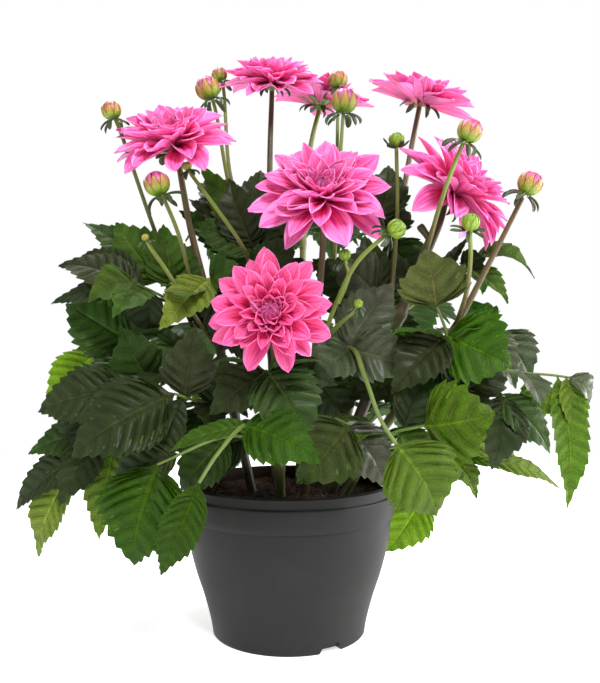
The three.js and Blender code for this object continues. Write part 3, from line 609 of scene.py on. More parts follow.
@dataclass(frozen=True)
class SoilFinish:
    """Dark moist peat with reddish-brown fibres."""

    name: str
    dark: Triple
    light: Triple

    def build(self) -> Material:
        """Returns the material."""
        graph = Graph(self.name)
        place = graph.place()
        lumps = graph.noise(place, 160.0, 5.0, 0.7)
        crumbs = graph.noise(place, 900.0, 3.0)
        graph.set(Base_Color=graph.mix(lumps.ramp(0.4, 0.72), self.dark, self.light), Roughness=0.9)
        graph.bump(lumps + crumbs * 0.5, 0.0012, 0.9)
        return graph.material


@dataclass(frozen=True)
class FloorFinish:
    """A pale studio floor that glows with painted light: dimmer near the pot and full white far out."""

    colour: Triple = (0.86, 0.86, 0.86)

    def build(self) -> Material:
        """Returns the material."""
        graph = Graph("studio_floor")
        x, y, _ = graph.split(graph.place())
        # Painted light: the floor's own glow rises from 0.65 near the pot to 1.0 far out, lifting the shadows
        # on it and blending it into the white backdrop.
        far = ((x * x + y * y) ** 0.5).ramp(0.3, 1.25)
        glow = graph.mix(far, (0.65, 0.65, 0.65), (1.0, 1.0, 1.0))
        graph.set(Base_Color=self.colour, Roughness=0.8, Emission_Color=glow, Emission_Strength=1.0)
        return graph.material


class Green(Enum):
    """The greens that leaflets are given: partly the leaves' own tones and partly painted light and shade.
    BRIGHT, LIVELY, FRESH, LIGHT and YELLOW also stand for painted light shining through backlit leaflets,
    DARK and SHADE in part for painted shade on leaflets under and among the others, and GREY for a painted
    grey sheen.
    """

    DARK = (0.014, 0.021, 0.005)
    SHADE = (0.022, 0.031, 0.006)
    DEEP = (0.017, 0.036, 0.005)
    MID = (0.030, 0.060, 0.006)
    BRIGHT = (0.020, 0.050, 0.001)
    LIVELY = (0.042, 0.088, 0.002)
    FRESH = (0.060, 0.100, 0.009)
    LIGHT = (0.085, 0.135, 0.014)
    GREY = (0.036, 0.046, 0.021)
    OLIVE = (0.052, 0.066, 0.016)
    YELLOW = (0.130, 0.210, 0.008)


DARK, SHADE, DEEP, MID, BRIGHT, LIVELY, FRESH, LIGHT, GREY, OLIVE, YELLOW = Green
GLOSS = {DARK: 0.2, DEEP: 0.12, GREY: 0.5}


@dataclass
class Stem:
    """One main stem: its middle line above the soil, what it carries, and its thickness."""

    path: list[tuple[float, ...]]
    bloom: str | None
    foot: float
    neck: float
    low: Triple
    high: Triple
    tip: Triple | None = None
    dark: bool = True
    stub: tuple[Triple, Triple] | None = None

    def spline(self, blooms: dict[str, "Bloom"]) -> Spline:
        """Its middle line from under the soil up to the flower head or its own tip."""
        (x, y), *rest = self.path
        points = [(x, y, SOIL_HEIGHT - STEM_DEPTH), *rest]
        if self.tip:
            return Spline([*points, self.tip])
        bloom = blooms[self.bloom]
        facing = unit(np.array(bloom.facing, float))
        return Spline([*points, np.array(bloom.centre) - facing * (RECEPTACLE_HEIGHT + SEAT_GAP)])


@dataclass
class Bloom:
    """A double flower head of many petals on one receptacle.

    Each petal's size and slope follow from its age: 0 for the outermost one and 1 for the innermost.
    """

    centre: Triple
    facing: Triple
    radius: float
    seed: int
    petals: int = 54
    width: float = 0.41
    outer_rise: float = 6
    outer_tip: float = -14
    inner_rise: float = 64
    inner_tip: float = 80
    shorten: float = 0.6
    point: float = 0.95
    heart: float = 7.5
    heart_tall: float = 10
    heart_level: float = 11
    lower: float = 0
    tint: Triple = (1.0, 1.0, 1.0)
    sepals: int = 6
    sepal_length: float = 17

    def axes(self) -> tuple[Array, Array, Array]:
        """Its right, its upward and its facing direction."""
        axis = unit(np.array(self.facing, float))
        reference = np.array([0.0, 1.0, 0.0]) if abs(axis[2]) > 0.9 else UP
        right = unit(np.cross(axis, reference))
        return right, np.cross(axis, right), axis

    def set_in_place(self, grid: Array, turn: float) -> Array:
        """Turns a petal from its own radial, sideways and axial numbers into place.

        Args:
            grid: rows by columns of (outward, sideways, along the axis).
            turn: its angle round the axis, in radians.

        Returns:
            The same grid in the frame, in millimetres.
        """
        right, upward, axis = self.axes()
        outward = right * math.cos(turn) + upward * math.sin(turn)
        sideways = np.cross(axis, outward)
        basis = np.stack([outward, sideways, axis])
        return np.array(self.centre) + grid @ basis

    def add(self, shell: Shell, shape: "PetalShape", turn: float, thick: float, tone: Any,
            trait: Sequence[float]) -> None:
        """Adds one petal, bract or sepal.

        Args:
            shell: what it is added to.
            shape: its form.
            turn: its angle round the axis, in radians.
            thick: its thickness.
            tone: its colour.
            trait: its random number and age.
        """
        grid, uv = shape.grid()
        shell.sheet(self.set_in_place(grid, turn), thick, uv, tone, trait)


@dataclass
class PetalShape:
    """One petal in the plane of its flower's axis; lengths in millimetres and angles in degrees."""

    length: float
    width: float
    start: float
    level: float
    rise: float
    tip_rise: float
    cup: float
    open: float
    point: float = 0.95
    claw: float = 0.34
    peak: float = 0.58
    twist: float = 0
    sway: float = 0
    wave: float = 0.0
    keel: float = 0.0
    furrow: float = 0.0
    rows: int = 11

    def grid(self) -> tuple[Array, Array]:
        """The petal's upper side.

        Returns:
            Rows by columns of points (outward, sideways, along the axis), and their UV pairs.
        """
        along = np.linspace(0, 1, self.rows) ** 0.92
        across = np.array([-1, -0.82, -0.56, -0.28, 0, 0.28, 0.56, 0.82, 1.0])
        ribs = np.array([0, 0.6, -0.8, 0.7, -1, 0.7, -0.8, 0.6, 0]) * self.furrow
        angle = np.radians(self.rise + (self.tip_rise - self.rise) * along ** 1.4)
        step = np.diff(along) * self.length
        middle = (angle[1:] + angle[:-1]) / 2
        outward = self.start + np.concatenate([[0], np.cumsum(np.cos(middle) * step)])
        level = self.level + np.concatenate([[0], np.cumsum(np.sin(middle) * step)])
        rising = self.claw + (1 - self.claw) * np.sin(np.clip(along / self.peak, 0, 1) * math.pi / 2)
        late = np.clip((along - self.peak) / (1 - self.peak), 0, 1)
        falling = np.maximum(1 - late ** 2.1, 0) ** self.point
        half = self.width / 2 * np.maximum(np.where(along < self.peak, rising, falling), 0.03)
        bend = np.radians(np.maximum(self.cup + (self.open - self.cup) * along ** 0.6, 3))[:, None]
        arc = across[None, :] * bend
        sideways = half[:, None] * np.sin(arc) / bend
        lift = half[:, None] * (1 - np.cos(arc)) / bend + half[:, None] * np.abs(across) * self.keel
        lift = lift + half[:, None] * ribs * np.sin(math.pi * along)[:, None]
        ripple = np.sin(along[:, None] * 9 + across * 2) * np.abs(across) ** 2
        lift = lift + ripple * self.wave * self.width * smooth_step(0.3, 0.8, along)[:, None]
        turn = np.radians(self.twist) * along[:, None]
        sideways, lift = rotate(sideways, lift, turn)
        sideways = sideways + self.sway * along[:, None] ** 2
        points = np.stack([outward[:, None] - np.sin(angle)[:, None] * lift, sideways,
                           level[:, None] + np.cos(angle)[:, None] * lift], -1)
        return points, surface_pairs(along[:, None], across)


@dataclass
class ClosedScales:
    """Layers of overlapping scales that close over a bud or over a flower's heart."""

    radius: float
    tall: float
    level: float
    layers: tuple[tuple[int, float, float], ...]
    thick: float = 0.35
    core: float = 0.93

    def add(self, shell: Shell, head: Bloom, tones: Sequence[Sequence[float]], rng: Random,
            age: float) -> None:
        """Adds the scales and a solid core under them.

        Args:
            shell: what they are added to.
            head: the bud or bloom whose axes and centre they use.
            tones: a colour for each layer, innermost first.
            rng: source of their small differences.
            age: the age that they pass to the material.
        """
        latitude = np.radians(np.linspace(-86, 86, 14))
        _, _, axis = head.axes()
        middle = np.array(head.centre) + axis * self.level
        shell.tube(middle + axis * (np.sin(latitude) * self.tall * self.core)[:, None],
                   np.cos(latitude) * self.radius * self.core, 16, tones[0], [0.5, age])
        along, across = np.linspace(0, 1, 10), np.linspace(-1, 1, 7)
        for layer, (count, reach, share) in enumerate(self.layers):
            rising = 0.5 + 0.5 * np.sin(np.clip(along / 0.5, 0, 1) * math.pi / 2)
            late = np.clip((along - 0.5) / 0.5, 0, 1)
            outline = np.where(along < 0.5, rising, np.maximum(1 - late ** 1.5, 0.03) ** 0.95)
            rows = np.radians(-74 + (74 + reach) * along)[:, None]
            waist = self.radius * np.maximum(np.cos(rows), 0.12)
            spread = np.clip(self.radius * share * outline[:, None] / waist, 0, 1.25) * across
            for index in range(count):
                free = 0.1 * smooth_step(0.72, 1, along)[:, None] * rng.uniform(0.2, 1.2)
                out = 1 + 0.045 * layer + 0.05 * across ** 2 + free + 0.035 * np.cos(across * math.pi)
                turn = spread + 2 * math.pi * (index + 0.5 * layer) / count + rng.normal(0, 0.06)
                radial = self.radius * out * np.cos(rows)
                rise = self.level + self.tall * out * np.sin(rows)
                grid = np.stack(np.broadcast_arrays(radial * np.cos(turn), radial * np.sin(turn), rise), -1)
                uv = surface_pairs(along[:, None], across)[:, ::-1]
                tone = np.array(tones[layer]) * rng.uniform(0.85, 1.15)
                shell.sheet(head.set_in_place(grid, 0)[:, ::-1], self.thick, uv, tone, [rng.random(), age])


@dataclass
class FlowerHeads:
    """Builds every flower head: its petals, its heart, its receptacle and its sepals."""

    blooms: dict[str, Bloom]
    petal_thickness: float = 0.45
    sepal_width: float = 4.6
    bracts: int = 8
    bract_thickness: float = 0.5
    cup_radius: float = 9.5
    green: Triple = (0.12, 0.2, 0.03)

    def petals(self, name: str, bloom: Bloom, finish: Material) -> Piece:
        """The petals of one head.

        Args:
            name: the CAD node that they stand for.
            bloom: the head's shape.
            finish: the petals' material.

        Returns:
            One object.
        """
        rng = np.random.default_rng(bloom.seed)
        shell = Shell()
        for index in range(bloom.petals):
            age = index / (bloom.petals - 1)
            turn = index * GOLDEN_ANGLE + rng.normal(0, 0.13)
            shape = PetalShape(
                length=(bloom.radius - 7) * (1 - bloom.shorten * age ** 1.5) * rng.uniform(0.9, 1.06),
                width=bloom.radius * bloom.width * (1 - 0.42 * age) * rng.uniform(0.82, 1.15),
                start=8.5 - 4 * age, level=1 + 8 * age - bloom.lower,
                rise=bloom.outer_rise + (bloom.inner_rise - bloom.outer_rise) * age + rng.normal(0, 5),
                tip_rise=bloom.outer_tip + (bloom.inner_tip - bloom.outer_tip) * age + rng.normal(0, 10),
                cup=78 - 6 * age, open=34 + 30 * age + rng.normal(0, 16),
                point=bloom.point * rng.uniform(0.75, 1.15), twist=rng.normal(0, 12), sway=rng.normal(0, 3),
                wave=rng.uniform(0.0, 0.07), keel=0.05, furrow=rng.uniform(0.06, 0.13),
            )
            tone = np.array(bloom.tint) * rng.uniform(0.86, 1.06)
            bloom.add(shell, shape, turn, self.petal_thickness, tone, [rng.random(), age])
        heart = ClosedScales(bloom.heart, bloom.heart_tall, bloom.heart_level - bloom.lower,
                             ((10, 82, 0.36), (10, 66, 0.38), (9, 44, 0.42)))
        heart.add(shell, bloom, [(0.65, 0.4, 0.5), (0.85, 0.7, 0.75), (1.0, 1.0, 1.0)], rng, 1.0)
        return shell.piece(f"{name}_petals", [finish])

    def calyx(self, name: str, bloom: Bloom, neck: float, finish: Material) -> Piece:
        """The receptacle under one head, with its pressed inner bracts and bent outer sepals.

        Args:
            name: the CAD node that it belongs to.
            bloom: the head's shape.
            neck: the radius of the stem below it.
            finish: the material.

        Returns:
            One object.
        """
        rng = np.random.default_rng(CALYX_SEED + bloom.seed)
        shell = Shell()
        _, _, axis = bloom.axes()
        centre = np.array(bloom.centre)
        level = np.array([-RECEPTACLE_HEIGHT, -7.5, -5.5, -3, -0.5, 2.5, 7, 12])
        level = np.minimum(level, bloom.heart_level - bloom.lower + 1 + np.arange(8) * 0.1)
        cup = self.cup_radius
        radii = np.array([neck, neck * 1.15, neck * 1.9, cup * 0.8, cup, cup * 0.98, cup * 0.8, cup * 0.35])
        green = np.array(self.green)
        shell.tube(centre + axis * level[:, None], radii, 20, green, [0.3, 0.5], ridges=0.03)
        bract = PetalShape(length=19, width=9, start=self.cup_radius * 0.75, level=-3.2,
                           rise=16, tip_rise=4, cup=40, open=25, point=0.8)
        for index in range(self.bracts):
            turn = 2 * math.pi * index / self.bracts + 0.3
            tone = green * rng.uniform(1.1, 1.7)
            bloom.add(shell, bract, turn, self.bract_thickness, tone, [rng.random(), 0.2])
        for index in range(bloom.sepals):
            turn = 2 * math.pi * index / bloom.sepals + rng.normal(0, 0.12)
            add_sepal(shell, bloom, turn, cup * 0.62, -5, bloom.sepal_length, self.sepal_width, rng)
        return shell.piece(f"{name}_calyx", [finish])

    def build(self, stems: dict[str, Stem], petal: Material, green: Material) -> None:
        """Builds and settles every head.

        Args:
            stems: the stems, for the thickness under each head.
            petal: the petals' material.
            green: the receptacles' and sepals' material.
        """
        necks = {stem.bloom: stem.neck for stem in stems.values()}
        for name, bloom in self.blooms.items():
            settle(self.petals(name, bloom, petal), "petal", name)
            settle(self.calyx(name, bloom, necks[name], green), "green_stem")


def add_sepal(shell: Shell, bloom: Bloom, turn: float, start: float, level: float, length: float,
                width: float, rng: Random, spread: tuple[float, float] = (0, -65)) -> None:
    """Adds one narrow sepal that spreads and then bends down.

    Args:
        shell: what it is added to.
        bloom: the head or bud whose axes it uses.
        turn: its angle round the axis.
        start: where it starts from the axis.
        level: where it starts along the axis.
        length: its length.
        width: its largest width.
        rng: source of its small differences.
        spread: its slope in degrees at its foot and at its tip.
    """
    shape = PetalShape(
        length=length * rng.uniform(0.85, 1.15), width=width * rng.uniform(0.8, 1.2),
        start=start, level=level, rise=spread[0] + rng.uniform(-15, 15),
        tip_rise=spread[1] + rng.uniform(-30, 30),
        cup=55, open=25, point=0.75, claw=0.5, peak=0.66, twist=rng.normal(0, 35),
        sway=rng.normal(0, length * 0.12), keel=0.25,
    )
    tone = np.array(SEPAL_GREEN) * rng.uniform(0.7, 1.5)
    bloom.add(shell, shape, turn, SEPAL_THICKNESS, tone, [rng.random(), 0.9])


@dataclass
class Bud:
    """A closed bud: its middle, radius and direction, and the colour of its scales' tips."""

    at: Triple
    radius: float
    facing: Triple
    tip: Triple = (0.35, 0.5, 0.04)
    cover: Triple = (0.4, 0.22, 0.05)
    stretch: float = 0.98
    sepals: int = 6
    spread: tuple[float, float] = (-15, -65)


@dataclass
class Spray:
    """Bud stalks that grow from one place of a stem, and their buds."""

    stem: str
    height: float | None
    stalks: list[list[Triple]]
    buds: list[Bud]
    branched: bool = False
    low: Triple = (0.10, 0.085, 0.018)
    high: Triple = (0.15, 0.20, 0.018)


@dataclass
class BudSprays:
    """Builds every spray: its stalks, scales and sepals."""

    sprays: dict[str, Spray]
    splines: dict[str, Spline]
    stalk_radius: float = 1.9
    steps: int = 36
    sides: int = 10

    def build(self, bud_finish: Material, green: Material) -> None:
        """Builds and settles every spray.

        Args:
            bud_finish: the scales' material.
            green: the stalks' and sepals' material.
        """
        sides = self.sides
        for number, (name, spray) in enumerate(self.sprays.items()):
            low, high = np.array(spray.low), np.array(spray.high)
            rng = np.random.default_rng(SPRAY_SEED + number)
            stalks, buds = Shell(), Shell()
            foot = [] if spray.height is None else [stem_at(self.splines[spray.stem], spray.height)]
            for index, path in enumerate(spray.stalks):
                root = foot if index == 0 or not spray.branched else []
                line = Spline([*root, *path, spray.buds[index].at]).even(self.steps)
                share = np.linspace(0, 1, self.steps)
                radii = self.stalk_radius * (1.15 - 0.25 * share)
                blend = smooth_step(0.25, 0.95, share)[:, None]
                tone = tube_tones((low * (1 - blend) + high * blend) * rng.uniform(0.85, 1.2), sides)
                stalks.tube(line, radii, sides, tone, [rng.random(), 0.3], ridges=0.05)
            for bud in spray.buds:
                head = Bloom(bud.at, bud.facing, bud.radius, 0)
                layers = ((7, 86, 0.4), (8, 66, 0.36), (8, 34, 0.4))
                between = np.array(bud.tip) * 0.7 + np.array(bud.cover) * 0.3
                scales = ClosedScales(bud.radius * 0.86, bud.radius * bud.stretch * 0.84, 0, layers)
                scales.add(buds, head, [bud.tip, between, bud.cover], rng, 0.5)
                for index in range(bud.sepals):
                    turn = 2 * math.pi * index / bud.sepals + rng.normal(0, 0.2)
                    add_sepal(stalks, head, turn, bud.radius * 0.42, -bud.radius * 0.92,
                                bud.radius * 0.95 + 5, bud.radius * 0.26 + 1.8, rng, bud.spread)
            settle(buds.piece(f"{name}_scales", [bud_finish]), "bud", name)
            settle(stalks.piece(f"{name}_stalks", [green]), "green_stem")


def stem_at(spline: Spline, height: float) -> Array:
    """Where a stem's middle line passes a height."""
    samples = np.array([spline.point(t) for t in np.linspace(0, 1, 201)])
    return samples[np.argmin(np.abs(samples[:, 2] - height))]


@dataclass
class Leaflet:
    """One leaflet: its start on the midrib, tip and width, the way it faces, its lean and its arch."""

    at: float
    tip: Triple
    width: float
    face: float
    lean: float = PAIR_LEAN
    arch: float = 5
    green: Green | None = None


@dataclass
class Pair:
    """Two opposite leaflets at a share of the midrib."""

    at: float
    length: float
    drop: float
    spread: float = 60


@dataclass
class Leaf:
    """A compound leaf: the stem and height that it grows from, its midrib and its leaflets.

    A leaflet is a row of what Leaflet holds; fill gives places of small pairs.
    """

    stem: str
    height: float
    midrib: list[Triple]
    leaflets: list[tuple[Any, ...]]
    pairs: list[Pair] = field(default_factory=list)
    green: Green = Green.MID
    fill: tuple[float, ...] = ()
    stout: float = 1.0


@dataclass
class Foliage:
    """Builds every compound leaf from its stalk and its toothed, veined leaflets.

    Radii, thicknesses and the spacing of veins are in millimetres. The other numbers of a blade are
    shares: of its length for the veins' ends, droop and drift, and else of its width.
    """

    leaves: dict[str, Leaf]
    splines: dict[str, Spline]
    petiole: float = 1.9
    rachis: float = 1.1
    foot_swell: float = 1.1
    stalk_green: Triple = (0.13, 0.2, 0.03)
    steps: int = 28
    sides: int = 8
    first_vein: float = 0.12
    last_vein: float = 0.93
    vein_spacing: float = 10
    tooth_depth: float = 0.048
    fold: float = 0.16
    quilt_height: float = 0.032
    groove: float = 0.014
    ripple: float = 0.035
    droop: float = 0.09
    drift: float = 0.025
    blade_thickness: float = 0.42
    midrib_thickness: float = 0.55
    vein_thickness: float = 0.2
    tooth_phases: tuple[float, ...] = (0.0, 0.2, 0.46, 0.74)
    tooth_reach: tuple[float, ...] = (1.0, -0.5, 0.05, 0.55)
    quilt_rise: tuple[float, ...] = (-1.0, 0.1, 1.0, 0.45)
    columns: tuple[float, ...] = (-1, -0.9, -0.6, -0.28, -0.05, 0, 0.05, 0.28, 0.6, 0.9, 1)

    def leaflet(self, shell: Shell, base: Array, item: Leaflet, green: Green, rng: Random) -> None:
        """Adds one leaflet.

        Args:
            shell: what it is added to.
            base: where its blade starts.
            item: its tip, width and lie.
            green: its colour.
            rng: source of its small differences.
        """
        tip = np.array(item.tip, float)
        length = np.linalg.norm(tip - base)
        lean = math.radians(item.lean)
        upper = compass(item.face) * math.cos(lean) + UP * math.sin(lean)
        ahead = unit(tip - base)
        across = unit(np.cross(upper, ahead))
        out = np.cross(ahead, across)
        veins = max(4, min(9, round(length / self.vein_spacing)))
        count = veins * len(self.tooth_phases)
        order = np.arange(count)
        phase = np.array(self.tooth_phases)[order % 4]
        ordinal = order // 4 + phase
        first, last = self.first_vein, self.last_vein
        margin = first + (last - first) * ordinal / veins
        margin = np.concatenate([[0, 0.035, 0.075], margin, [last, last + 0.018, 0.975, 1.0]])
        tooth = np.array(self.tooth_reach)[order % 4]
        tooth[0] = 0.0
        tooth = np.concatenate([[0, 0, 0], tooth, [0.8, -0.3, 0, 0]])
        quilt = np.concatenate([[0, 0, -0.5], np.array(self.quilt_rise)[order % 4], [-0.6, 0, 0, 0]])
        after = veins + np.array([0, 0.2, 0.5, 0.75])
        ordinal = np.concatenate([[-0.45, -0.3, -0.15], ordinal, after])
        blade = np.clip((margin - 0.03) / 0.97, 0, 1)
        outline = np.sin(math.pi * blade ** 0.72) ** 0.8 * (1 - 0.36 * smooth_step(0.6, 0.97, blade))
        half = np.maximum(item.width / 2 * outline, np.where(margin < 0.08, 0.9, 0.25))
        slant = smooth_step(0.0, 0.34, margin) * half / length * 0.72
        rib = np.maximum.accumulate(np.maximum(margin - slant, 0) + np.arange(len(margin)) * 1e-4)
        rib = rib / max(rib[-1], 1e-6)
        v = np.array(self.columns)
        side = np.abs(v)
        share = rib[:, None] + (margin - rib)[:, None] * side ** 1.35
        depth = item.width * self.tooth_depth * (0.35 + 0.65 * outline)
        edge = np.where(side > 0.99, 1.0, np.where(side > 0.85, 0.45, 0.0))
        lateral = half[:, None] * v + np.sign(v) * edge * (tooth * depth)[:, None]
        share = share + edge * (np.maximum(tooth, 0) * depth * 0.9 / length)[:, None]
        belly = 4 * side * (1 - side)
        rise = self.fold * np.abs(lateral) * (1 + rng.uniform(-0.3, 0.8))
        rise = rise + quilt[:, None] * belly * item.width * self.quilt_height * outline[:, None]
        rise = rise - np.where(side < 0.01, item.width * self.groove, 0) * np.minimum(outline, 1)[:, None]
        rise = rise + rng.uniform(-0.12, 0.08) * item.width * 0.5 * side ** 2 * outline[:, None]
        sway = np.where(v > 0, rng.uniform(0, 6), rng.uniform(0, 6))
        rise = rise + item.width * self.ripple * np.sin(share * rng.uniform(11, 16) + sway) * side ** 3
        rise = rise - length * (self.droop + rng.uniform(-0.03, 0.05)) * share ** 3.5
        rise = rise + item.arch * 4 * share * (1 - share)
        drift = length * rng.normal(0, self.drift) * np.sin(math.pi * share)
        turn = math.radians(rng.normal(0, 8)) * (share - 0.2)
        wide, high = rotate(lateral + drift, rise, turn)
        grid = base + (tip - base) * share[..., None] + across * wide[..., None] + out * high[..., None]
        thick = self.blade_thickness + self.midrib_thickness * (side < 0.03)
        thick = thick + self.vein_thickness * (quilt < -0.9)[:, None] * (side < 0.8)
        thick = thick * np.minimum(1, 0.5 + outline)[:, None]
        tone = np.array(green.value) * rng.uniform(0.82, 1.2) * (1 + rng.normal(0, 0.05, 3))
        gloss = GLOSS.get(green, 0.04) * rng.uniform(0.5, 1.5)
        shell.sheet(grid, thick, surface_pairs(ordinal[:, None], v), tone, [rng.random(), gloss])

    def pair(self, path: Spline, item: Pair) -> list[Leaflet]:
        """The two leaflets of a pair, in the terms of those placed singly."""
        tangent = path.tangent(item.at)
        heading = math.degrees(math.atan2(tangent[1], tangent[0]))
        slope = math.radians(item.drop)
        made = []
        for turn in (-item.spread, item.spread):
            ahead = compass(heading + turn) * item.length * math.cos(slope)
            tip = path.point(item.at) + ahead - UP * item.length * math.sin(slope)
            made.append(Leaflet(item.at, tuple(tip), item.length * WIDTH_SHARE, heading + turn, PAIR_LEAN))
        return made

    def small_pair(self, at: float, rng: Random) -> Pair:
        """A smaller pair of varied length and slope, nearer the stem."""
        return Pair(at, rng.uniform(44, 62), rng.uniform(-25, 30), rng.uniform(45, 80))

    def leaf(self, name: str, leaf: Leaf, seed: int, finishes: list[Material]) -> Piece:
        """One compound leaf.

        Args:
            name: the CAD node that it stands for.
            leaf: its stalk and leaflets.
            seed: seed of its small differences.
            finishes: the blades' material and the stalks'.

        Returns:
            One object.
        """
        rng = np.random.default_rng(seed)
        shell = Shell()
        path = Spline([stem_at(self.splines[leaf.stem], leaf.height), *leaf.midrib])
        line = path.even(self.steps)
        share = np.linspace(0, 1, self.steps)
        radii = self.petiole + (self.rachis - self.petiole) * share
        radii = radii + self.foot_swell * np.exp(-(share / 0.05) ** 2)
        tone = np.array(self.stalk_green) * rng.uniform(0.8, 1.2)
        shell.tube(line, radii * leaf.stout, self.sides, tone, [rng.random(), 0.5], finish=1, ridges=0.08)
        pairs = [*leaf.pairs, *(self.small_pair(at, rng) for at in leaf.fill)]
        paired = (made for pair in pairs for made in self.pair(path, pair))
        for item in [*(Leaflet(*row) for row in leaf.leaflets), *paired]:
            self.leaflet(shell, path.point(item.at), item, item.green or leaf.green, rng)
        return shell.piece(name + "_foliage", finishes)

    def build(self, blade: Material, stalk: Material) -> None:
        """Builds and settles every leaf."""
        for number, (name, leaf) in enumerate(self.leaves.items()):
            settle(self.leaf(name, leaf, LEAF_SEED + LEAF_SEED_STEP * number, [blade, stalk]), "leaf", name)


@dataclass
class BackLeaf:
    """A leaf of the back, which repeats one leaf form."""

    stem: str
    height: float
    compass: float
    reach: float
    fall: float
    size: float
    rise: float = 26
    droop: float = 34

    def leaf(self, spline: Spline) -> Leaf:
        """The same leaf in the terms of those placed one by one."""
        joint = stem_at(spline, self.height)
        outward = compass(self.compass)
        middle = joint + outward * self.reach * 0.5 + UP * (self.rise - self.fall * 0.2)
        end = joint + outward * self.reach + UP * (self.rise - self.fall)
        slope = math.radians(self.droop)
        tip = end + (outward * math.cos(slope) - UP * math.sin(slope)) * self.size
        leaflet = (1, tuple(tip), self.size * WIDTH_SHARE, self.compass, PAIR_LEAN, 7)
        pairs = [Pair(0.58, 0.76 * self.size, 20, 62), Pair(0.9, 0.88 * self.size, 20, 48)]
        return Leaf(self.stem, self.height, [tuple(middle), tuple(end)], [leaflet], pairs, Green.DEEP, (0.3,))


@dataclass
class StemSet:
    """Builds the main stems with their nodes, ridges and colour from foot to neck."""

    stems: dict[str, Stem]
    splines: dict[str, Spline]
    joints: dict[str, list[float]]
    node_swell: float = 0.35
    steps: int = 90
    sides: int = 20

    def build(self, dark: Material, green: Material) -> None:
        """Builds and settles every stem.

        Args:
            dark: the brown stems' material.
            green: the green stems' material.
        """
        for number, (name, stem) in enumerate(self.stems.items()):
            line = self.splines[name].even(self.steps)
            share = np.linspace(0, 1, self.steps)
            radii = stem.foot + (stem.neck - stem.foot) * share
            for height in self.joints.get(name, []):
                radii = radii + self.node_swell * stem.neck * np.exp(-((line[:, 2] - height) / 5) ** 2)
            low, high = np.array(stem.low), np.array(stem.high)
            colour = low + (high - low) * smooth_step(0.2, 0.95, share)[:, None]
            colour = colour * (0.45 + 0.55 * smooth_step(0.02, 0.3, share))[:, None]
            shell = Shell()
            tone = tube_tones(colour, self.sides)
            shell.tube(line, radii, self.sides, tone, [number / 8, 0.5], ridges=0.04)
            if stem.stub:
                start, end = np.array(stem.stub)
                length = np.array([0, 0.5, 0.8, 0.92, 1.0])[:, None]
                radii = np.array([3.2, 3.1, 3.7, 3.6, 2.4])
                shell.tube(start + (end - start) * length, radii, 14, stem.low, [0.2, 0.5])
            slot = "dark_stem" if stem.dark else "green_stem"
            settle(shell.piece(name + "_bark", [dark if stem.dark else green]), slot, name)


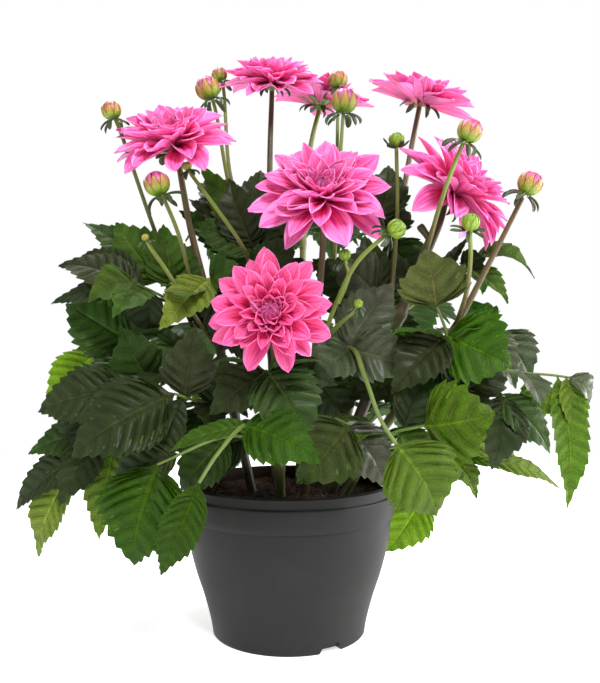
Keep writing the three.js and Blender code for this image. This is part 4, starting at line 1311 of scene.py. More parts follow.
@dataclass
class Pot:
    """The moulded nursery pot: a turned wall with a raised band, a recess, a lip and base notches.

    Lengths are in millimetres; the profile gives radius and height of the outside below the band.
    """

    height: float = 140
    wall: float = 2.4
    floor: float = 3
    base: float = 71.5
    shoulder: float = 100
    rim: float = 98.1
    segments: int = 192
    profile: tuple[tuple[float, float], ...] = ((73.5, 14), (79.4, 36), (87.4, 60), (94.4, 89), (96.6, 109))
    notch_angles: tuple[float, ...] = (-58, 122)
    notch_width: float = 26
    notch_top: float = 15
    notch_height: float = 8
    sharp: float = 34

    def outline(self) -> list[tuple[float, float]]:
        """The turned section, outside first, as radius and height."""
        points = np.array([(self.base, 3.0), *self.profile], float)
        line = Spline(np.column_stack([points, np.zeros(len(points))])).even(40)
        outer = [(0.0, 0.0), (self.base - 2.2, 0.0), (self.base - 0.9, 0.35), (self.base - 0.2, 1.2)]
        outer += [(float(r), float(z)) for r, z, _ in line]
        outer += [(97.2, 109.4), (98.3, 110.0), (98.9, 111.0), (99.3, 116), (99.7, 123),
                  (self.shoulder, 128.6), (99.9, 129.6), (99.3, 130.4), (98.3, 130.8), (98.2, 131.1),
                  (self.rim, 131.8), (self.rim, 138.6), (96.8, 139.4), (96.2, self.height)]
        inner = [(95.4, self.height), (94.8, 139.4), (94.6, 138.4), (94.6, 130.4), (97.2, 126.2), (96.6, 112)]
        inner += [(float(r) - self.wall, float(z)) for r, z, _ in line[::-3] if z > 8]
        foot = self.base - self.wall
        return outer + inner + [(foot, self.floor + 1.5), (foot - 1.5, self.floor), (0.0, self.floor)]

    def turned(self) -> Piece:
        """The turned body without its notches."""
        angle = circle(self.segments)
        points, rings = [], []
        for radius, level in self.outline():
            if radius == 0:
                rings.append(np.full(self.segments, len(points)))
                points.append((0.0, 0.0, level))
            else:
                rings.append(np.arange(self.segments) + len(points))
                points += [(radius * math.cos(a), radius * math.sin(a), level) for a in angle]
        faces = []
        for low, high in zip(rings, rings[1:]):
            for index in range(self.segments):
                after = (index + 1) % self.segments
                corners = [low[index], low[after], high[after], high[index]]
                faces.append(list(dict.fromkeys(int(c) for c in corners)))
        return show("pot_body", solid("pot_body", points, faces))

    def cutter(self, angle: float) -> Piece:
        """A wedge that cuts one notch into the base at a compass angle."""
        low, top = self.notch_width / 2, self.notch_top / 2
        section = [(-low, -2), (low, -2), (top, self.notch_height), (-top, self.notch_height)]
        outward, sideways = compass(angle), compass(angle + 90)
        points = [outward * reach + sideways * x + UP * z
                  for reach in (self.base - 12, self.base + 12) for x, z in section]
        faces = [(3, 2, 1, 0), (4, 5, 6, 7), (0, 1, 5, 4), (1, 2, 6, 5), (2, 3, 7, 6), (3, 0, 4, 7)]
        return show("notch_cutter", solid("notch_cutter", points, faces))

    def build(self, finish: Material) -> None:
        """Builds and settles the pot."""
        body = self.turned()
        cutters = [self.cutter(angle) for angle in self.notch_angles]
        for cutter in cutters:
            cut = body.modifiers.new("notch", "BOOLEAN")
            cut.operation, cut.object, cut.solver = "DIFFERENCE", cutter, "EXACT"
        graph = bpy.context.evaluated_depsgraph_get()
        mesh = bpy.data.meshes.new_from_object(body.evaluated_get(graph))
        for extra in [body, *cutters]:
            bpy.data.objects.remove(extra)
        mesh.materials.clear()
        mesh.materials.append(finish)
        mesh.polygons.foreach_set("use_smooth", np.ones(len(mesh.polygons), bool))
        mesh.set_sharp_from_angle(angle=math.radians(self.sharp))
        settle(show("moulded_pot", mesh), "pot_plastic", "nursery_pot")


@dataclass
class Soil:
    """The peat in the pot: an uneven body, with crumbs and fibres scattered on its top."""

    radius: float = 93.5
    dome: float = 4
    raised: float = 1.5
    rings: int = 34
    segments: int = 120
    bottom: float = 3.4
    side: tuple[tuple[float, float], ...] = (
        (94.6, 117), (91.5, 89), (84.6, 60), (76.6, 36), (70.6, 14), (68.2, 3.4))
    crumb_density: float = 110000
    fibre_density: float = 26000

    def surface(self, radius: Array, angle: Array) -> Array:
        """The soil's height over places on it, in millimetres."""
        x, y = radius * np.cos(angle), radius * np.sin(angle)
        swell = np.sin(x * 0.11 + 1.3) * np.sin(y * 0.13 + 0.4)
        swell = swell + 0.5 * np.sin(x * 0.31) * np.sin(y * 0.27 + 2)
        fade = 1 - smooth_step(80, 93, radius)
        return SOIL_HEIGHT + self.raised + self.dome * (1 - (radius / self.radius) ** 2) + swell * 0.9 * fade

    def body(self, finish: Material) -> Piece:
        """The soil's closed body, which fills the pot."""
        angle = circle(self.segments)
        sections = [(radius, self.surface(np.full(self.segments, radius), angle))
                    for radius in np.linspace(4, self.radius, self.rings)]
        sections += [(radius, np.full(self.segments, level)) for radius, level in self.side]
        points = [(0.0, 0.0, float(self.surface(np.zeros(1), np.zeros(1))[0]))]
        for radius, level in sections:
            points += list(zip(radius * np.cos(angle), radius * np.sin(angle), level))
        points.append((0.0, 0.0, self.bottom))
        faces = []
        for index in range(self.segments):
            after = (index + 1) % self.segments
            faces.append([0, 1 + index, 1 + after])
            for ring in range(len(sections) - 1):
                inner, outer = 1 + ring * self.segments, 1 + (ring + 1) * self.segments
                faces.append([inner + index, outer + index, outer + after, inner + after])
            last = 1 + (len(sections) - 1) * self.segments
            faces.append([last + index, len(points) - 1, last + after])
        return show("peat", solid("peat", points, faces, finish))

    def crumb(self, seed: int) -> Piece:
        """One irregular crumb of few faces, one millimetre in radius."""
        rng = np.random.default_rng(seed)
        ratio = (1 + math.sqrt(5)) / 2
        corners = np.array([(a, b * ratio, 0) for a in (-1, 1) for b in (-1, 1)])
        points = np.concatenate([corners, corners[:, [2, 0, 1]], corners[:, [1, 2, 0]]])
        outward = []
        for a, b, c in combinations(range(12), 3):
            edges = [np.linalg.norm(points[p] - points[q]) for p, q in ((a, b), (b, c), (a, c))]
            if all(abs(edge - 2) < 0.01 for edge in edges):
                normal = np.cross(points[b] - points[a], points[c] - points[a])
                outward.append([a, b, c] if np.dot(normal, points[a]) > 0 else [a, c, b])
        shaped = unit(points) * rng.uniform(0.6, 1.25, (12, 1)) * rng.uniform(0.6, 1.2, 3)
        return bpy.data.objects.new("crumb", solid("crumb", shaped, outward, smooth=False))

    def fibre(self, seed: int) -> Piece:
        """One bent peat fibre, about nine millimetres long."""
        rng = np.random.default_rng(seed)
        first, second = rng.uniform(-1.5, 1.5), rng.uniform(-1.5, 1.5)
        bends = [(-4.5, 0, 0), (-1.5, first, 0.7), (1.6, second, 0.3), (4.5, 0, 0.6)]
        shell = Shell()
        shell.tube(Spline(bends).even(6), np.array([0.12, 0.2, 0.24, 0.24, 0.18, 0.1]), 4, (1, 1, 1), [0, 0])
        made = shell.piece("fibre", [])
        bpy.context.scene.collection.objects.unlink(made)
        return made

    def build(self, peat: Material, crumbs: Material, fibres: Material) -> None:
        """Builds and settles the soil.

        Args:
            peat: the body's material.
            crumbs: the crumbs' material.
            fibres: the fibres' material.
        """
        body = self.body(peat)
        lumps, threads = [self.crumb(seed) for seed in (3, 4, 5, 6)], [self.fibre(seed) for seed in (7, 8, 9)]
        small = Scatter("soil_crumbs", lumps, self.crumb_density, 0.5, 2.3, 11)
        long = Scatter("soil_fibres", threads, self.fibre_density, 0.4, 1.2, 23)
        loose = [small.spread(body, crumbs), long.spread(body, fibres)]
        settle(body, "peat_soil", "potting_soil")
        for piece in loose:
            settle(piece, "peat_soil")


@dataclass
class Scatter:
    """Spreads small shapes over the level parts of a surface, with geometry nodes.

    A part is level enough where the normal's upward share passes that number.
    """

    name: str
    shapes: list[Piece]
    density: float
    smallest: float
    largest: float
    seed: int
    level_enough: float = 0.8

    def tree(self) -> tuple[bpy.types.NodeTree, dict[str, str]]:
        """The node tree and the identifiers of its inputs by name."""
        group = bpy.data.node_groups.new(self.name, "GeometryNodeTree")
        new_socket = group.interface.new_socket
        for way in ("INPUT", "OUTPUT"):
            new_socket("Geometry", in_out=way, socket_type="NodeSocketGeometry")
        kinds = {"Density": "Float", "Smallest": "Float", "Largest": "Float", "Seed": "Int",
                 "Shapes": "Collection", "Finish": "Material"}
        names = {title: new_socket(title, in_out="INPUT", socket_type="NodeSocket" + kind).identifier
                 for title, kind in kinds.items()}
        node = {name: group.nodes.new(kind) for name, kind in (
            ("entry", "NodeGroupInput"), ("leave", "NodeGroupOutput"), ("normal", "GeometryNodeInputNormal"),
            ("parts", "ShaderNodeSeparateXYZ"), ("level", "FunctionNodeCompare"),
            ("points", "GeometryNodeDistributePointsOnFaces"), ("shapes", "GeometryNodeCollectionInfo"),
            ("turn", "FunctionNodeRandomValue"), ("size", "FunctionNodeRandomValue"),
            ("placed", "GeometryNodeInstanceOnPoints"), ("real", "GeometryNodeRealizeInstances"),
            ("finish", "GeometryNodeSetMaterial"))}
        node["turn"].data_type = "FLOAT_VECTOR"
        node["size"].data_type = "FLOAT"
        for name, socket, value in (
                ("level", 1, self.level_enough), ("shapes", "Separate Children", True),
                ("shapes", "Reset Children", True), ("turn", 0, (-0.5, -0.5, 0)),
                ("turn", 1, (0.5, 0.5, 2 * math.pi)), ("placed", "Pick Instance", True)):
            node[name].inputs[socket].default_value = value
        for source, out, target, socket in (
                ("normal", 0, "parts", 0), ("parts", 2, "level", 0), ("entry", "Geometry", "points", "Mesh"),
                ("level", 0, "points", "Selection"), ("entry", "Density", "points", "Density"),
                ("entry", "Seed", "points", "Seed"), ("entry", "Shapes", "shapes", "Collection"),
                ("entry", "Smallest", "size", 2), ("entry", "Largest", "size", 3),
                ("entry", "Seed", "size", "Seed"), ("points", "Points", "placed", "Points"),
                ("shapes", 0, "placed", "Instance"), ("turn", 0, "placed", "Rotation"),
                ("size", 1, "placed", "Scale"), ("placed", 0, "real", 0), ("real", 0, "finish", "Geometry"),
                ("entry", "Finish", "finish", "Material"), ("finish", 0, "leave", 0)):
            group.links.new(node[source].outputs[out], node[target].inputs[socket])
        return group, names

    def spread(self, surface: Piece, finish: Material) -> Piece:
        """Scatters the shapes.

        Args:
            surface: the object that they lie on.
            finish: their material.

        Returns:
            One plain mesh object that holds them all.
        """
        shelf = bpy.data.collections.new(self.name + "_shapes")
        for shape in self.shapes:
            shelf.objects.link(shape)
        group, names = self.tree()
        modifier = surface.modifiers.new(self.name, "NODES")
        modifier.node_group = group
        values = {"Density": self.density, "Smallest": self.smallest, "Largest": self.largest,
                  "Seed": self.seed, "Shapes": shelf, "Finish": finish}
        for title, value in values.items():
            modifier[names[title]] = value
        graph = bpy.context.evaluated_depsgraph_get()
        mesh = bpy.data.meshes.new_from_object(surface.evaluated_get(graph))
        surface.modifiers.remove(modifier)
        for shape in self.shapes:
            bpy.data.objects.remove(shape)
        bpy.data.collections.remove(shelf)
        mesh.name = self.name
        return show(self.name, mesh)


@dataclass
class Studio:
    """The camera, the pale floor and the soft lights; metres, but the floor's radius in millimetres."""

    eye: Triple = (0.0105, -0.736, 0.261)
    aim: Triple = (0, 0, 0.3)
    pitch: float = 90.815
    focal_pixels: float = 773
    frame_height: float = 683
    sensor: float = 36
    ambient_low: float = 0.05
    ambient_high: float = 0.6
    floor_radius: float = 1400
    floor_sides: int = 96
    backdrop: float = 1.0

    def camera(self) -> None:
        """Sets the camera at the photograph's viewing angle."""
        data = bpy.data.cameras.new("camera")
        data.sensor_width = self.sensor
        data.lens = self.focal_pixels / self.frame_height * self.sensor
        camera = show("camera", data)
        camera.location = self.eye
        camera.rotation_euler = (math.radians(self.pitch), 0, 0)
        bpy.context.scene.camera = camera

    def lamp(self, name: str, place: Triple, size: float, power: float) -> None:
        """Adds a square soft light that faces the plant."""
        data = bpy.data.lights.new(name, "AREA")
        data.size, data.energy = size, power
        light = show(name, data)
        light.location = place
        light.rotation_euler = (Vector(self.aim) - Vector(place)).to_track_quat("-Z", "Y").to_euler()

    def build(self, floor: Material) -> None:
        """Sets up the camera, the lights, the surroundings and the floor."""
        self.camera()
        for name, place, size, power in (
                ("key", (0.35, -1.3, 1.75), 0.55, 40), ("fill", (-1.4, -1.0, 0.7), 0.8, 4),
                ("side", (1.5, 0.1, 0.55), 0.5, 33), ("top", (-0.3, 0.7, 1.7), 0.7, 26)):
            self.lamp(name, place, size, power)
        world = bpy.data.worlds.new("studio")
        bpy.context.scene.world = world
        world.use_nodes = True
        nodes, link = world.node_tree.nodes, world.node_tree.links.new
        sky = nodes["Background"]
        sky.inputs["Color"].default_value = (1, 1, 1, 1)
        where, parts = nodes.new("ShaderNodeTexCoord"), nodes.new("ShaderNodeSeparateXYZ")
        height, ray, blend = (nodes.new(kind) for kind in
                              ("ShaderNodeMapRange", "ShaderNodeLightPath", "ShaderNodeMapRange"))
        link(where.outputs["Generated"], parts.inputs[0])
        link(parts.outputs[2], height.inputs["Value"])
        height.inputs["From Min"].default_value = -1
        height.inputs["To Min"].default_value = self.ambient_low
        height.inputs["To Max"].default_value = self.ambient_high
        link(height.outputs[0], blend.inputs["To Min"])
        blend.inputs["To Max"].default_value = self.backdrop
        link(ray.outputs["Is Camera Ray"], blend.inputs["Value"])
        link(blend.outputs[0], sky.inputs["Strength"])
        radius, turns = self.floor_radius, circle(self.floor_sides)
        rim = [(radius * math.cos(turn), radius * math.sin(turn), 0) for turn in turns]
        show("studio_floor", solid("studio_floor", rim, [tuple(range(len(rim)))], floor))
        bpy.context.scene.view_settings.view_transform = "Standard"


# Colours of stems and of bud tips
BROWN, RUSSET, MOSS, LIME = (0.05, 0.032, 0.01), (0.1, 0.058, 0.014), (0.1, 0.12, 0.018), (0.15, 0.2, 0.014)
PINK_TIP, PURPLE_TIP, TAN_TIP = (0.7, 0.05, 0.32), (0.5, 0.02, 0.26), (0.5, 0.1, 0.1)
GREEN_TIP = (0.19, 0.32, 0.012)

BLOOMS = {
    "bloom_left": Bloom((-105, -22, 451), (-0.12, -0.62, 0.77), 61, 11, petals=60, outer_rise=2,
                        outer_tip=-26, shorten=0.66, inner_rise=72, heart_level=9),
    "bloom_top_left": Bloom((-18, 52, 538), (0.04, -0.44, 0.9), 54, 12, petals=60, outer_rise=0,
                            outer_tip=-28, inner_rise=62, shorten=0.64, lower=5),
    "bloom_centre": Bloom((30, -68, 393), (0.0, -0.84, 0.54), 62, 13, petals=60, outer_tip=-20, shorten=0.66,
                          inner_rise=68, heart=8.5, heart_tall=13, heart_level=12),
    "bloom_front": Bloom((-13, -116, 292), (0.02, -0.98, 0.14), 52, 14, petals=60, point=0.7, inner_rise=62,
                         shorten=0.64, heart=9, tint=(0.92, 0.62, 0.68)),
    "bloom_back": Bloom((33, 104, 533), (0.22, -0.1, 0.97), 57, 15, inner_rise=46, lower=5, outer_rise=14),
    "bloom_top_right": Bloom((135, 50, 521), (0.25, -0.2, 0.945), 59, 16, inner_rise=40, inner_tip=60,
                             lower=9, outer_rise=8, outer_tip=2, heart_tall=6, heart_level=8,
                             sepal_length=20),
    "bloom_right": Bloom((148, -32, 404), (0.64, -0.42, 0.64), 64, 17, petals=72, outer_rise=0, outer_tip=-42,
                         inner_rise=72, shorten=0.5),
}

STEMS = {
    "stem_left": Stem([(-30, -10), (-50, -12, 200), (-73, -10, 300), (-93, -11, 380)],
                      "bloom_left", 4.6, 2.7, BROWN, RUSSET),
    "stem_top_left": Stem([(-12, 24), (-17, 36, 220), (-20, 43, 360), (-20, 46, 460)],
                          "bloom_top_left", 4.4, 2.5, BROWN, BROWN),
    "stem_centre": Stem([(14, -18), (20, -26, 200), (27, -36, 300), (31, -46, 360)],
                        "bloom_centre", 4.4, 2.6, RUSSET, RUSSET),
    "stem_front": Stem([(-6, -34), (-8, -52, 190), (-11, -78, 255), (-13, -98, 284)],
                       "bloom_front", 4.2, 2.6, MOSS, MOSS, dark=False),
    "stem_back": Stem([(10, 42), (12, 66, 280), (16, 90, 430), (23, 100, 490)],
                      "bloom_back", 4.4, 2.4, RUSSET, LIME, dark=False),
    "stem_top_right": Stem([(36, 18), (78, 34, 280), (112, 42, 410), (124, 48, 470)],
                           "bloom_top_right", 4.4, 2.5, MOSS, RUSSET, dark=False),
    "stem_right": Stem([(32, -14), (80, -26, 240), (122, -34, 345), (137, -30, 380)],
                       "bloom_right", 5.6, 4.6, BROWN, BROWN, stub=((131, -33, 361), (119, -34, 377))),
    "stem_side": Stem([(40, -34), (86, -48, 195), (141, -58, 274), (180, -56, 345)],
                      None, 4.2, 2, MOSS, RUSSET, tip=(205.6, -60, 396.6), dark=False),
}

SPRAYS = {
    "bud_far_left": Spray("stem_left", 215, [[(-98, -2, 300), (-130, -8, 385), (-159, -18, 472)]],
                          [Bud((-165, -20, 486), 9.5, (-0.2, -0.1, 1), TAN_TIP)]),
    "buds_top_left": Spray("stem_top_left", 300, [
        [(-48, 22, 380), (-60, 14, 430), (-73, 10, 502)],
        [(-24, 37, 313), (-40, 34, 380), (-60, 44, 440), (-69, 58, 536)],
        [(-28, 34, 325), (-34, 2, 338), (-44, -30, 361), (-70, -34, 398), (-89, -36, 424)],
    ], [
        Bud((-79, 10, 517), 12.5, (-0.35, -0.1, 1), PURPLE_TIP),
        Bud((-73, 60, 548), 8.5, (-0.3, 0.1, 1), PURPLE_TIP),
        Bud((-92, -37, 430), 4.5, (-0.4, -0.1, 1)),
    ], branched=True),
    "buds_left_low": Spray("stem_left", 262, [
        [(-84, -34, 312), (-98, -52, 368), (-109, -60, 396)],
        [(-88, -44, 300), (-104, -66, 330), (-118, -83, 353)],
    ], [
        Bud((-115, -60, 409), 12, (-0.3, -0.1, 1), PURPLE_TIP),
        Bud((-120, -85, 358), 3.4, (-0.3, -0.2, 1)),
    ]),
    "buds_top_middle": Spray("stem_top_right", 215, [
        [(46, 34, 320), (48, 52, 420), (50, 65, 530)],
        [(44, 18, 320), (48, 16, 420), (53, 20, 495)],
    ], [
        Bud((50, 66, 545), 10.5, (0, -0.05, 1), TAN_TIP),
        Bud((54, 20, 508), 13.5, (0.05, -0.1, 1), PURPLE_TIP),
    ]),
    "bud_middle_green": Spray("stem_right", 268, [[(97, -18, 330), (100, -26, 388), (99, -30, 446)]],
                              [Bud((99, -30, 456), 7.5, (0, -0.4, 1), GREEN_TIP, GREEN_TIP,
                                   spread=(10, 50))]),
    "bud_right_high": Spray("stem_right", 328, [[(120, -70, 350), (127, -95, 384), (141, -103, 425)]],
                            [Bud((150, -104, 443), 11, (0.45, -0.2, 1), PINK_TIP)]),
    "buds_right_fork": Spray("stem_side", 282, [[(151, -84, 312), (151, -100, 340), (149, -108, 356)]],
                             [Bud((149, -110, 367), 8, (0.1, -0.5, 1), GREEN_TIP, GREEN_TIP,
                                  spread=(0, -10))]),
    "bud_right_far": Spray("stem_side", None, [], [Bud((212, -61, 409), 11.5, (0.5, -0.1, 1), PINK_TIP)]),
    "buds_centre_spray": Spray("stem_centre", 222, [
        [(27, -62, 258), (40, -88, 300), (58, -97, 336), (82, -100, 358)],
        [(42, -92, 302), (51, -92, 326), (49, -90, 336)],
        [(30, -70, 271), (47, -98, 288), (56, -104, 296)],
    ], [
        Bud((90, -100, 363), 8.5, (0.8, -0.3, 0.45), GREEN_TIP, GREEN_TIP),
        Bud((48, -89, 343), 5.5, (-0.1, -0.4, 1), GREEN_TIP, GREEN_TIP),
        Bud((58, -106, 301), 4, (0.1, -0.6, 0.8), GREEN_TIP, GREEN_TIP),
    ], branched=True, low=(0.12, 0.19, 0.015)),
}

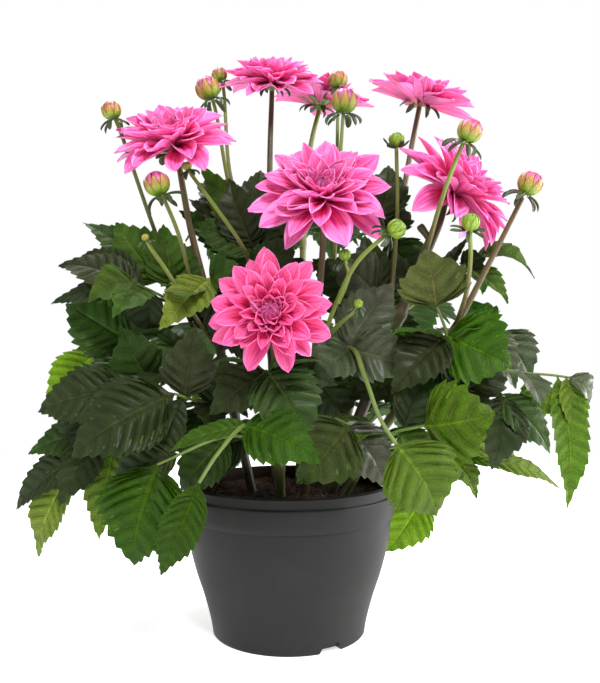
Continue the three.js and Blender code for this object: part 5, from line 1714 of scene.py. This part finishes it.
LEAVES = {
    "leaf_front_left_broad": Leaf("stem_left", 205, [(-70, -45, 214), (-96, -80, 226)], [
        (1, (-180, -102, 179), 66, -95, 16, 7), (0.85, (-80, -80, 282), 44, -90, 10, 4),
        (0.9, (-118, -92, 146), 28, -90, 10, 2), (0.4, (-88, -40, 155), 50, -90, 20, 5, DEEP),
        (0.4, (-60, -30, 262), 44, -90, 15, 4, DARK)], green=DARK, fill=(0.3, 0.6)),
    "leaf_left_middle": Leaf("stem_left", 236, [(-100, -30, 242), (-142, -46, 232)], [
        (1, (-229, -44, 212), 52, -100, 22, 7), (0.8, (-144, -62, 282), 46, -90, 10, 3, DEEP),
        (0.95, (-186, -66, 188), 36, -100, 20, 4)], green=DARK, fill=(0.3, 0.6)),
    "leaf_left_low": Leaf("stem_left", 180, [(-110, -15, 200), (-165, -22, 186), (-197, -20, 160)], [
        (0.85, (-262, -8, 115), 40, -120, 20, 6), (0.75, (-202, -58, 129), 38, -100, 20, 4),
        (1, (-243, -12, 70), 42, -115, 10, 6, LIGHT), (0.62, (-171, -46, 95), 44, -95, 10, 5, LIGHT),
        (0.5, (-221, -20, 187), 42, -100, 20, 4), (0.7, (-246, -14, 168), 34, -110, 20, 4, DEEP),
        (0.6, (-226, -10, 205), 34, -110, 25, 4)], [Pair(0.36, 58, 20)], green=DARK, fill=(0.2, 0.5)),
    "leaf_front_left_low": Leaf("stem_front", 178, [(-50, -78, 190), (-108, -94, 168)], [
        (1, (-131, -98, 84), 74, -95, 5, 5), (0.85, (-154, -80, 146), 38, -105, 15, 4, DARK),
        (0.3, (-98, -30, 150), 50, -95, 20, 4, DARK),
        (0.5, (-96, -66, 140), 42, -90, 12, 4, DEEP)], green=BRIGHT, fill=(0.3,)),
    "leaf_front_winged": Leaf("stem_front", 158, [(-18, -90, 190), (-34, -120, 203), (-54, -132, 182),
        (-68, -134, 160)], [
        (1, (-101, -124, 82), 32, -80, 5, 3), (0.5, (26, -142, 179), 48, -90, 28, 7),
        (0.45, (-97, -112, 186), 26, -60, 60, 4, MID)], green=BRIGHT, stout=1.35),
    "leaf_front_under_bloom": Leaf("stem_front", 232, [(-18, -92, 246)], [
        (1, (20, -120, 192), 58, -80, 20, 7, DEEP), (0.9, (-64, -106, 212), 42, -100, 25, 6),
        (0.9, (42, -98, 236), 34, -80, 30, 5)], green=DARK, fill=(0.4,)),
    "leaf_front_right_soil": Leaf("stem_centre", 176, [(36, -72, 204), (50, -100, 202)], [
        (1, (9, -124, 158), 58, -80, 25, 6),
        (0.85, (84, -92, 148), 40, -80, 20, 5, GREY)], [Pair(0.5, 52, 14)], green=SHADE),
    "leaf_front_right_winged": Leaf("stem_centre", 238, [(54, -66, 265), (64, -100, 240), (74, -126, 208),
        (85, -137, 190)], [
        (1, (121, -130, 132), 62, -85, 10, 6), (0.25, (20, -86, 240), 40, -90, 20, 4, GREY),
        (0.22, (106, -72, 248), 50, -90, 20, 6, GREY), (0.2, (92, -54, 324), 48, -95, 10, 6, GREY),
        (0.0, (54, -10, 194), 52, -90, 10, 4, DARK)], green=FRESH, stout=1.35),
    "leaf_front_right_bright": Leaf("stem_side", 165, [(88, -80, 192), (112, -102, 201)], [
        (1, (168, -112, 212), 66, -90, 5, 4), (0.7, (122, -84, 246), 34, -90, 10, 3, DARK),
        (0.6, (124, -78, 158), 34, -80, 20, 4, MID)], green=LIVELY, fill=(0.35,)),
    "leaf_right_node": Leaf("stem_side", 262, [(136, -74, 276), (128, -74, 300)], [
        (0.5, (190, -84, 250), 64, -88, 4, 3), (0.45, (86, -98, 230), 44, -100, 25, 5, DARK),
        (1, (117, -84, 348), 60, -90, 4, 8, OLIVE), (0.2, (52, -30, 218), 50, -90, 20, 4, DARK),
        (0.25, (46, -20, 236), 50, -90, 30, 4, DEEP),
        (0.0, (96, -40, 222), 48, -90, 20, 4, SHADE)], green=BRIGHT, fill=(0.25,)),
    "leaf_right_arching": Leaf("stem_right", 232, [(150, -24, 262), (205, -26, 244), (244, -24, 240),
        (258, -23, 238)], [
        (1, (281, -16, 214), 28, -70, 35, 7, GREY), (0.95, (262, -34, 182), 28, -80, 5, 3),
        (0.8, (251, -48, 121), 33, -85, 5, 3, FRESH), (0.65, (220, -20, 189), 32, -85, 5, 4),
        (0.55, (222, -62, 218), 34, -60, 30, 4, GREY)], [Pair(0.3, 46, 10)], green=LIGHT, fill=(0.15,)),
    "leaf_right_dark": Leaf("stem_side", 200, [(150, -46, 226), (192, -50, 222)], [
        (1, (178, -72, 162), 44, -90, 5, 4), (0.9, (232, -62, 176), 36, -75, 20, 5, DEEP),
        (0.3, (89, -20, 222), 46, -90, 20, 4), (0.4, (128, -22, 196), 46, -85, 20, 4),
        (0.6, (196, -30, 250), 40, -80, 30, 4),
        (0.4, (170, -10, 262), 44, -90, 20, 4, DEEP)], [Pair(0.5, 50, 30)], green=DARK, fill=(0.3,)),
    "leaf_right_low": Leaf("stem_top_right", 150, [(110, 2, 172), (160, 6, 160)], [
        (1, (270, 16, 139), 30, -60, 58, 10, LIGHT), (0.85, (172, -34, 132), 32, -60, 30, 4),
        (0.8, (240, 40, 150), 34, -60, 45, 12)], green=LIGHT, fill=(0.3,)),
    "leaf_right_pot": Leaf("stem_top_right", 140, [(105, 40, 160), (136, 46, 118)], [
        (1, (98, 48, 56), 48, -85, 5, 3, YELLOW),
        (0.75, (158, 84, 108), 40, 30, 45, 4)], green=MID, fill=(0.3,)),
    "leaf_right_upper": Leaf("stem_right", 296, [(150, -8, 330), (176, 0, 352)], [
        (1, (236, 0, 336), 34, -50, 45, 11), (0.8, (200, -38, 308), 32, -70, 40, 4),
        (0.8, (196, 38, 326), 34, 30, 45, 4), (0.12, (172, -10, 374), 13, -70, 30, 6, DARK),
        (0.75, (187, -4, 352), 24, -60, 30, 3, DARK)], green=MID, fill=(0.4,)),
    "leaf_right_grey": Leaf("stem_top_right", 250, [(160, 26, 284), (204, 22, 282)], [
        (1, (234, 8, 236), 50, -75, 15, 5), (0.85, (216, 66, 260), 42, 30, 45, 5, MID),
        (0.8, (177, 20, 312), 40, -80, 20, 4, MID), (0.9, (208, 10, 230), 44, -80, 20, 4, DEEP),
        (0.8, (216, -10, 232), 42, -80, 20, 4)], [Pair(0.45, 52, 14)], green=GREY, fill=(0.2,)),
    "leaf_upper_right": Leaf("stem_top_right", 366, [(92, 30, 394)], [
        (1, (98, 22, 446), 44, -90, 10, 5), (0.9, (54, 30, 406), 38, -90, 25, 4),
        (0.6, (111, 40, 414), 44, -90, 15, 4),
        (0.3, (125, 45, 330), 46, -90, 20, 4)], green=DARK, fill=(0.5,)),
    "leaf_centre_right": Leaf("stem_right", 250, [(80, -2, 290), (82, 0, 316)], [
        (1, (40, -14, 346), 52, -90, 15, 6), (0.9, (72, 4, 374), 38, -90, 10, 4, DARK),
        (0.6, (32, 0, 306), 42, -90, 20, 4, DARK), (0.8, (112, 2, 352), 44, -90, 20, 5, DARK),
        (0.9, (22, 10, 352), 44, -90, 10, 4, DARK),
        (0.6, (120, 10, 250), 48, -90, 10, 4, DARK)], green=GREY, fill=(0.5,)),
    "leaf_left_upper": Leaf("stem_left", 292, [(-98, -10, 314), (-118, -20, 326)], [
        (1, (-160, -26, 381), 54, -95, 12, 4), (0.95, (-195, -6, 389), 34, -160, 50, 3, DEEP),
        (0.8, (-116, -30, 378), 42, -90, 10, 4),
        (0.7, (-92, -14, 362), 38, -90, 12, 4, DEEP)], green=MID, fill=(0.4,)),
    "leaf_left_side": Leaf("stem_left", 276, [(-104, -38, 306), (-134, -52, 322)], [
        (1, (-174, -66, 308), 40, -100, 30, 5), (0.95, (-210, -36, 344), 36, -110, 35, 6, DARK),
        (0.85, (-146, -90, 294), 32, -95, 25, 4), (0.8, (-128, -20, 274), 40, -95, 20, 4, DARK),
        (0.95, (-220, -30, 309), 26, -110, 30, 5, DARK),
        (0.9, (-204, -10, 356), 36, -100, 25, 5, DARK)], green=MID, fill=(0.4,)),
    "leaf_left_striped": Leaf("stem_left", 248, [(-110, -10, 266), (-148, -18, 272)], [
        (1, (-208, -18, 308), 58, -95, 10, 4), (0.95, (-202, 8, 262), 38, -120, 30, 5, DARK),
        (0.75, (-156, -36, 226), 34, -100, 20, 4, DARK),
        (1, (-120, -24, 312), 36, -90, 12, 4, DEEP)], green=DEEP, fill=(0.4,)),
    "leaf_left_back_bright": Leaf("stem_top_left", 215, [(-110, 40, 250), (-190, 38, 262)], [
        (1, (-247, 34, 206), 46, -115, 15, 5), (0.85, (-215, 78, 232), 40, 150, 45, 5, MID),
        (0.8, (-180, 0, 222), 40, -100, 25, 5, DEEP)], [Pair(0.5, 56, 16)], green=YELLOW, fill=(0.3,)),
    "leaf_upper_left": Leaf("stem_top_left", 340, [(-34, 10, 362)], [
        (1, (-58, 0, 428), 44, -90, 10, 4), (0.9, (-94, 0, 384), 42, -105, 25, 6, DEEP),
        (0.85, (-8, 6, 416), 40, -85, 10, 4), (0.95, (-92, 30, 436), 44, -90, 20, 4, DARK),
        (0.9, (-65, 45, 443), 42, -90, 15, 4), (0.95, (-28, 40, 449), 48, -90, 15, 4, DARK),
        (0.5, (-92, 12, 392), 44, -90, 20, 4, MID), (0.3, (-78, 20, 340), 44, -90, 20, 4),
        (0.6, (-86, 10, 444), 40, -90, 15, 4, MID), (0.4, (-98, 20, 414), 40, -90, 15, 4),
        (0.5, (-108, 14, 400), 40, -90, 10, 4, DEEP)], green=DARK, fill=(0.5,)),
    "leaf_centre_left": Leaf("stem_top_left", 290, [(-32, -4, 328)], [
        (1, (-58, -54, 290), 50, -95, 30, 10), (0.9, (6, -22, 370), 42, -85, 20, 5),
        (0.8, (27, -10, 346), 44, -90, 20, 4, DARK),
        (0.6, (16, -20, 300), 44, -90, 20, 4)], green=DARK, fill=(0.5,)),
    "leaf_left_inner": Leaf("stem_left", 310, [(-71, -38, 328)], [
        (1, (-108, -82, 284), 38, -85, 25, 5, LIGHT), (0.9, (-46, -58, 340), 36, -85, 25, 4),
        (0.5, (-64, -20, 276), 44, -90, 20, 4, DARK),
        (1, (-42, -6, 250), 44, -90, 15, 4, DARK)], green=DEEP, fill=(0.5,)),
}

BACK_LEAVES = {
    "leaf_back_low_left": BackLeaf("stem_top_left", 160, 158, 124, 10, 98),
    "leaf_back_low_middle": BackLeaf("stem_back", 158, 118, 110, 14, 102),
    "leaf_back_low_right": BackLeaf("stem_back", 172, 78, 104, 8, 100),
    "leaf_back_low_far_right": BackLeaf("stem_top_right", 185, 42, 116, 12, 98),
    "leaf_back_high_left": BackLeaf("stem_top_left", 262, 140, 104, -6, 96),
    "leaf_back_high_middle": BackLeaf("stem_back", 268, 98, 88, -8, 96),
    "leaf_back_high_right": BackLeaf("stem_top_right", 292, 62, 88, -6, 92),
    "leaf_back_top_left": BackLeaf("stem_top_left", 372, 128, 58, -14, 76),
    "leaf_back_top_middle": BackLeaf("stem_back", 376, 72, 56, -14, 78),
}


def main() -> None:
    """Builds the pot, the soil and every part of the plant, then the studio round them."""
    logging.basicConfig(level=logging.INFO, format="%(name)s %(message)s")
    petal, blade, bud = PetalFinish().build(), LeafFinish().build(), BudFinish().build()
    dark = StalkFinish("dark_stem", (0.13, 0.13, 0.03), 0.35).build()
    green = StalkFinish("green_stem", (0.1, 0.07, 0.02), 0.25).build()
    peat = SoilFinish("peat", (0.012, 0.006, 0.004), (0.045, 0.022, 0.012)).build()
    crumbs = SoilFinish("crumbs", (0.014, 0.007, 0.0045), (0.075, 0.034, 0.017)).build()
    fibres = SoilFinish("fibres", (0.11, 0.04, 0.014), (0.24, 0.1, 0.035)).build()
    Pot().build(PotFinish().build())
    Soil().build(peat, crumbs, fibres)
    splines = {name: stem.spline(BLOOMS) for name, stem in STEMS.items()}
    leaves = {**LEAVES, **{name: item.leaf(splines[item.stem]) for name, item in BACK_LEAVES.items()}}
    joints: dict[str, list[float]] = {}
    for item in [*leaves.values(), *SPRAYS.values()]:
        if item.height is not None:
            joints.setdefault(item.stem, []).append(item.height)
    StemSet(STEMS, splines, joints).build(dark, green)
    FlowerHeads(BLOOMS).build(STEMS, petal, green)
    BudSprays(SPRAYS, splines).build(bud, green)
    Foliage(leaves, splines).build(blade, green)
    Studio().build(FloorFinish().build())


if __name__ == "__main__":
    main()
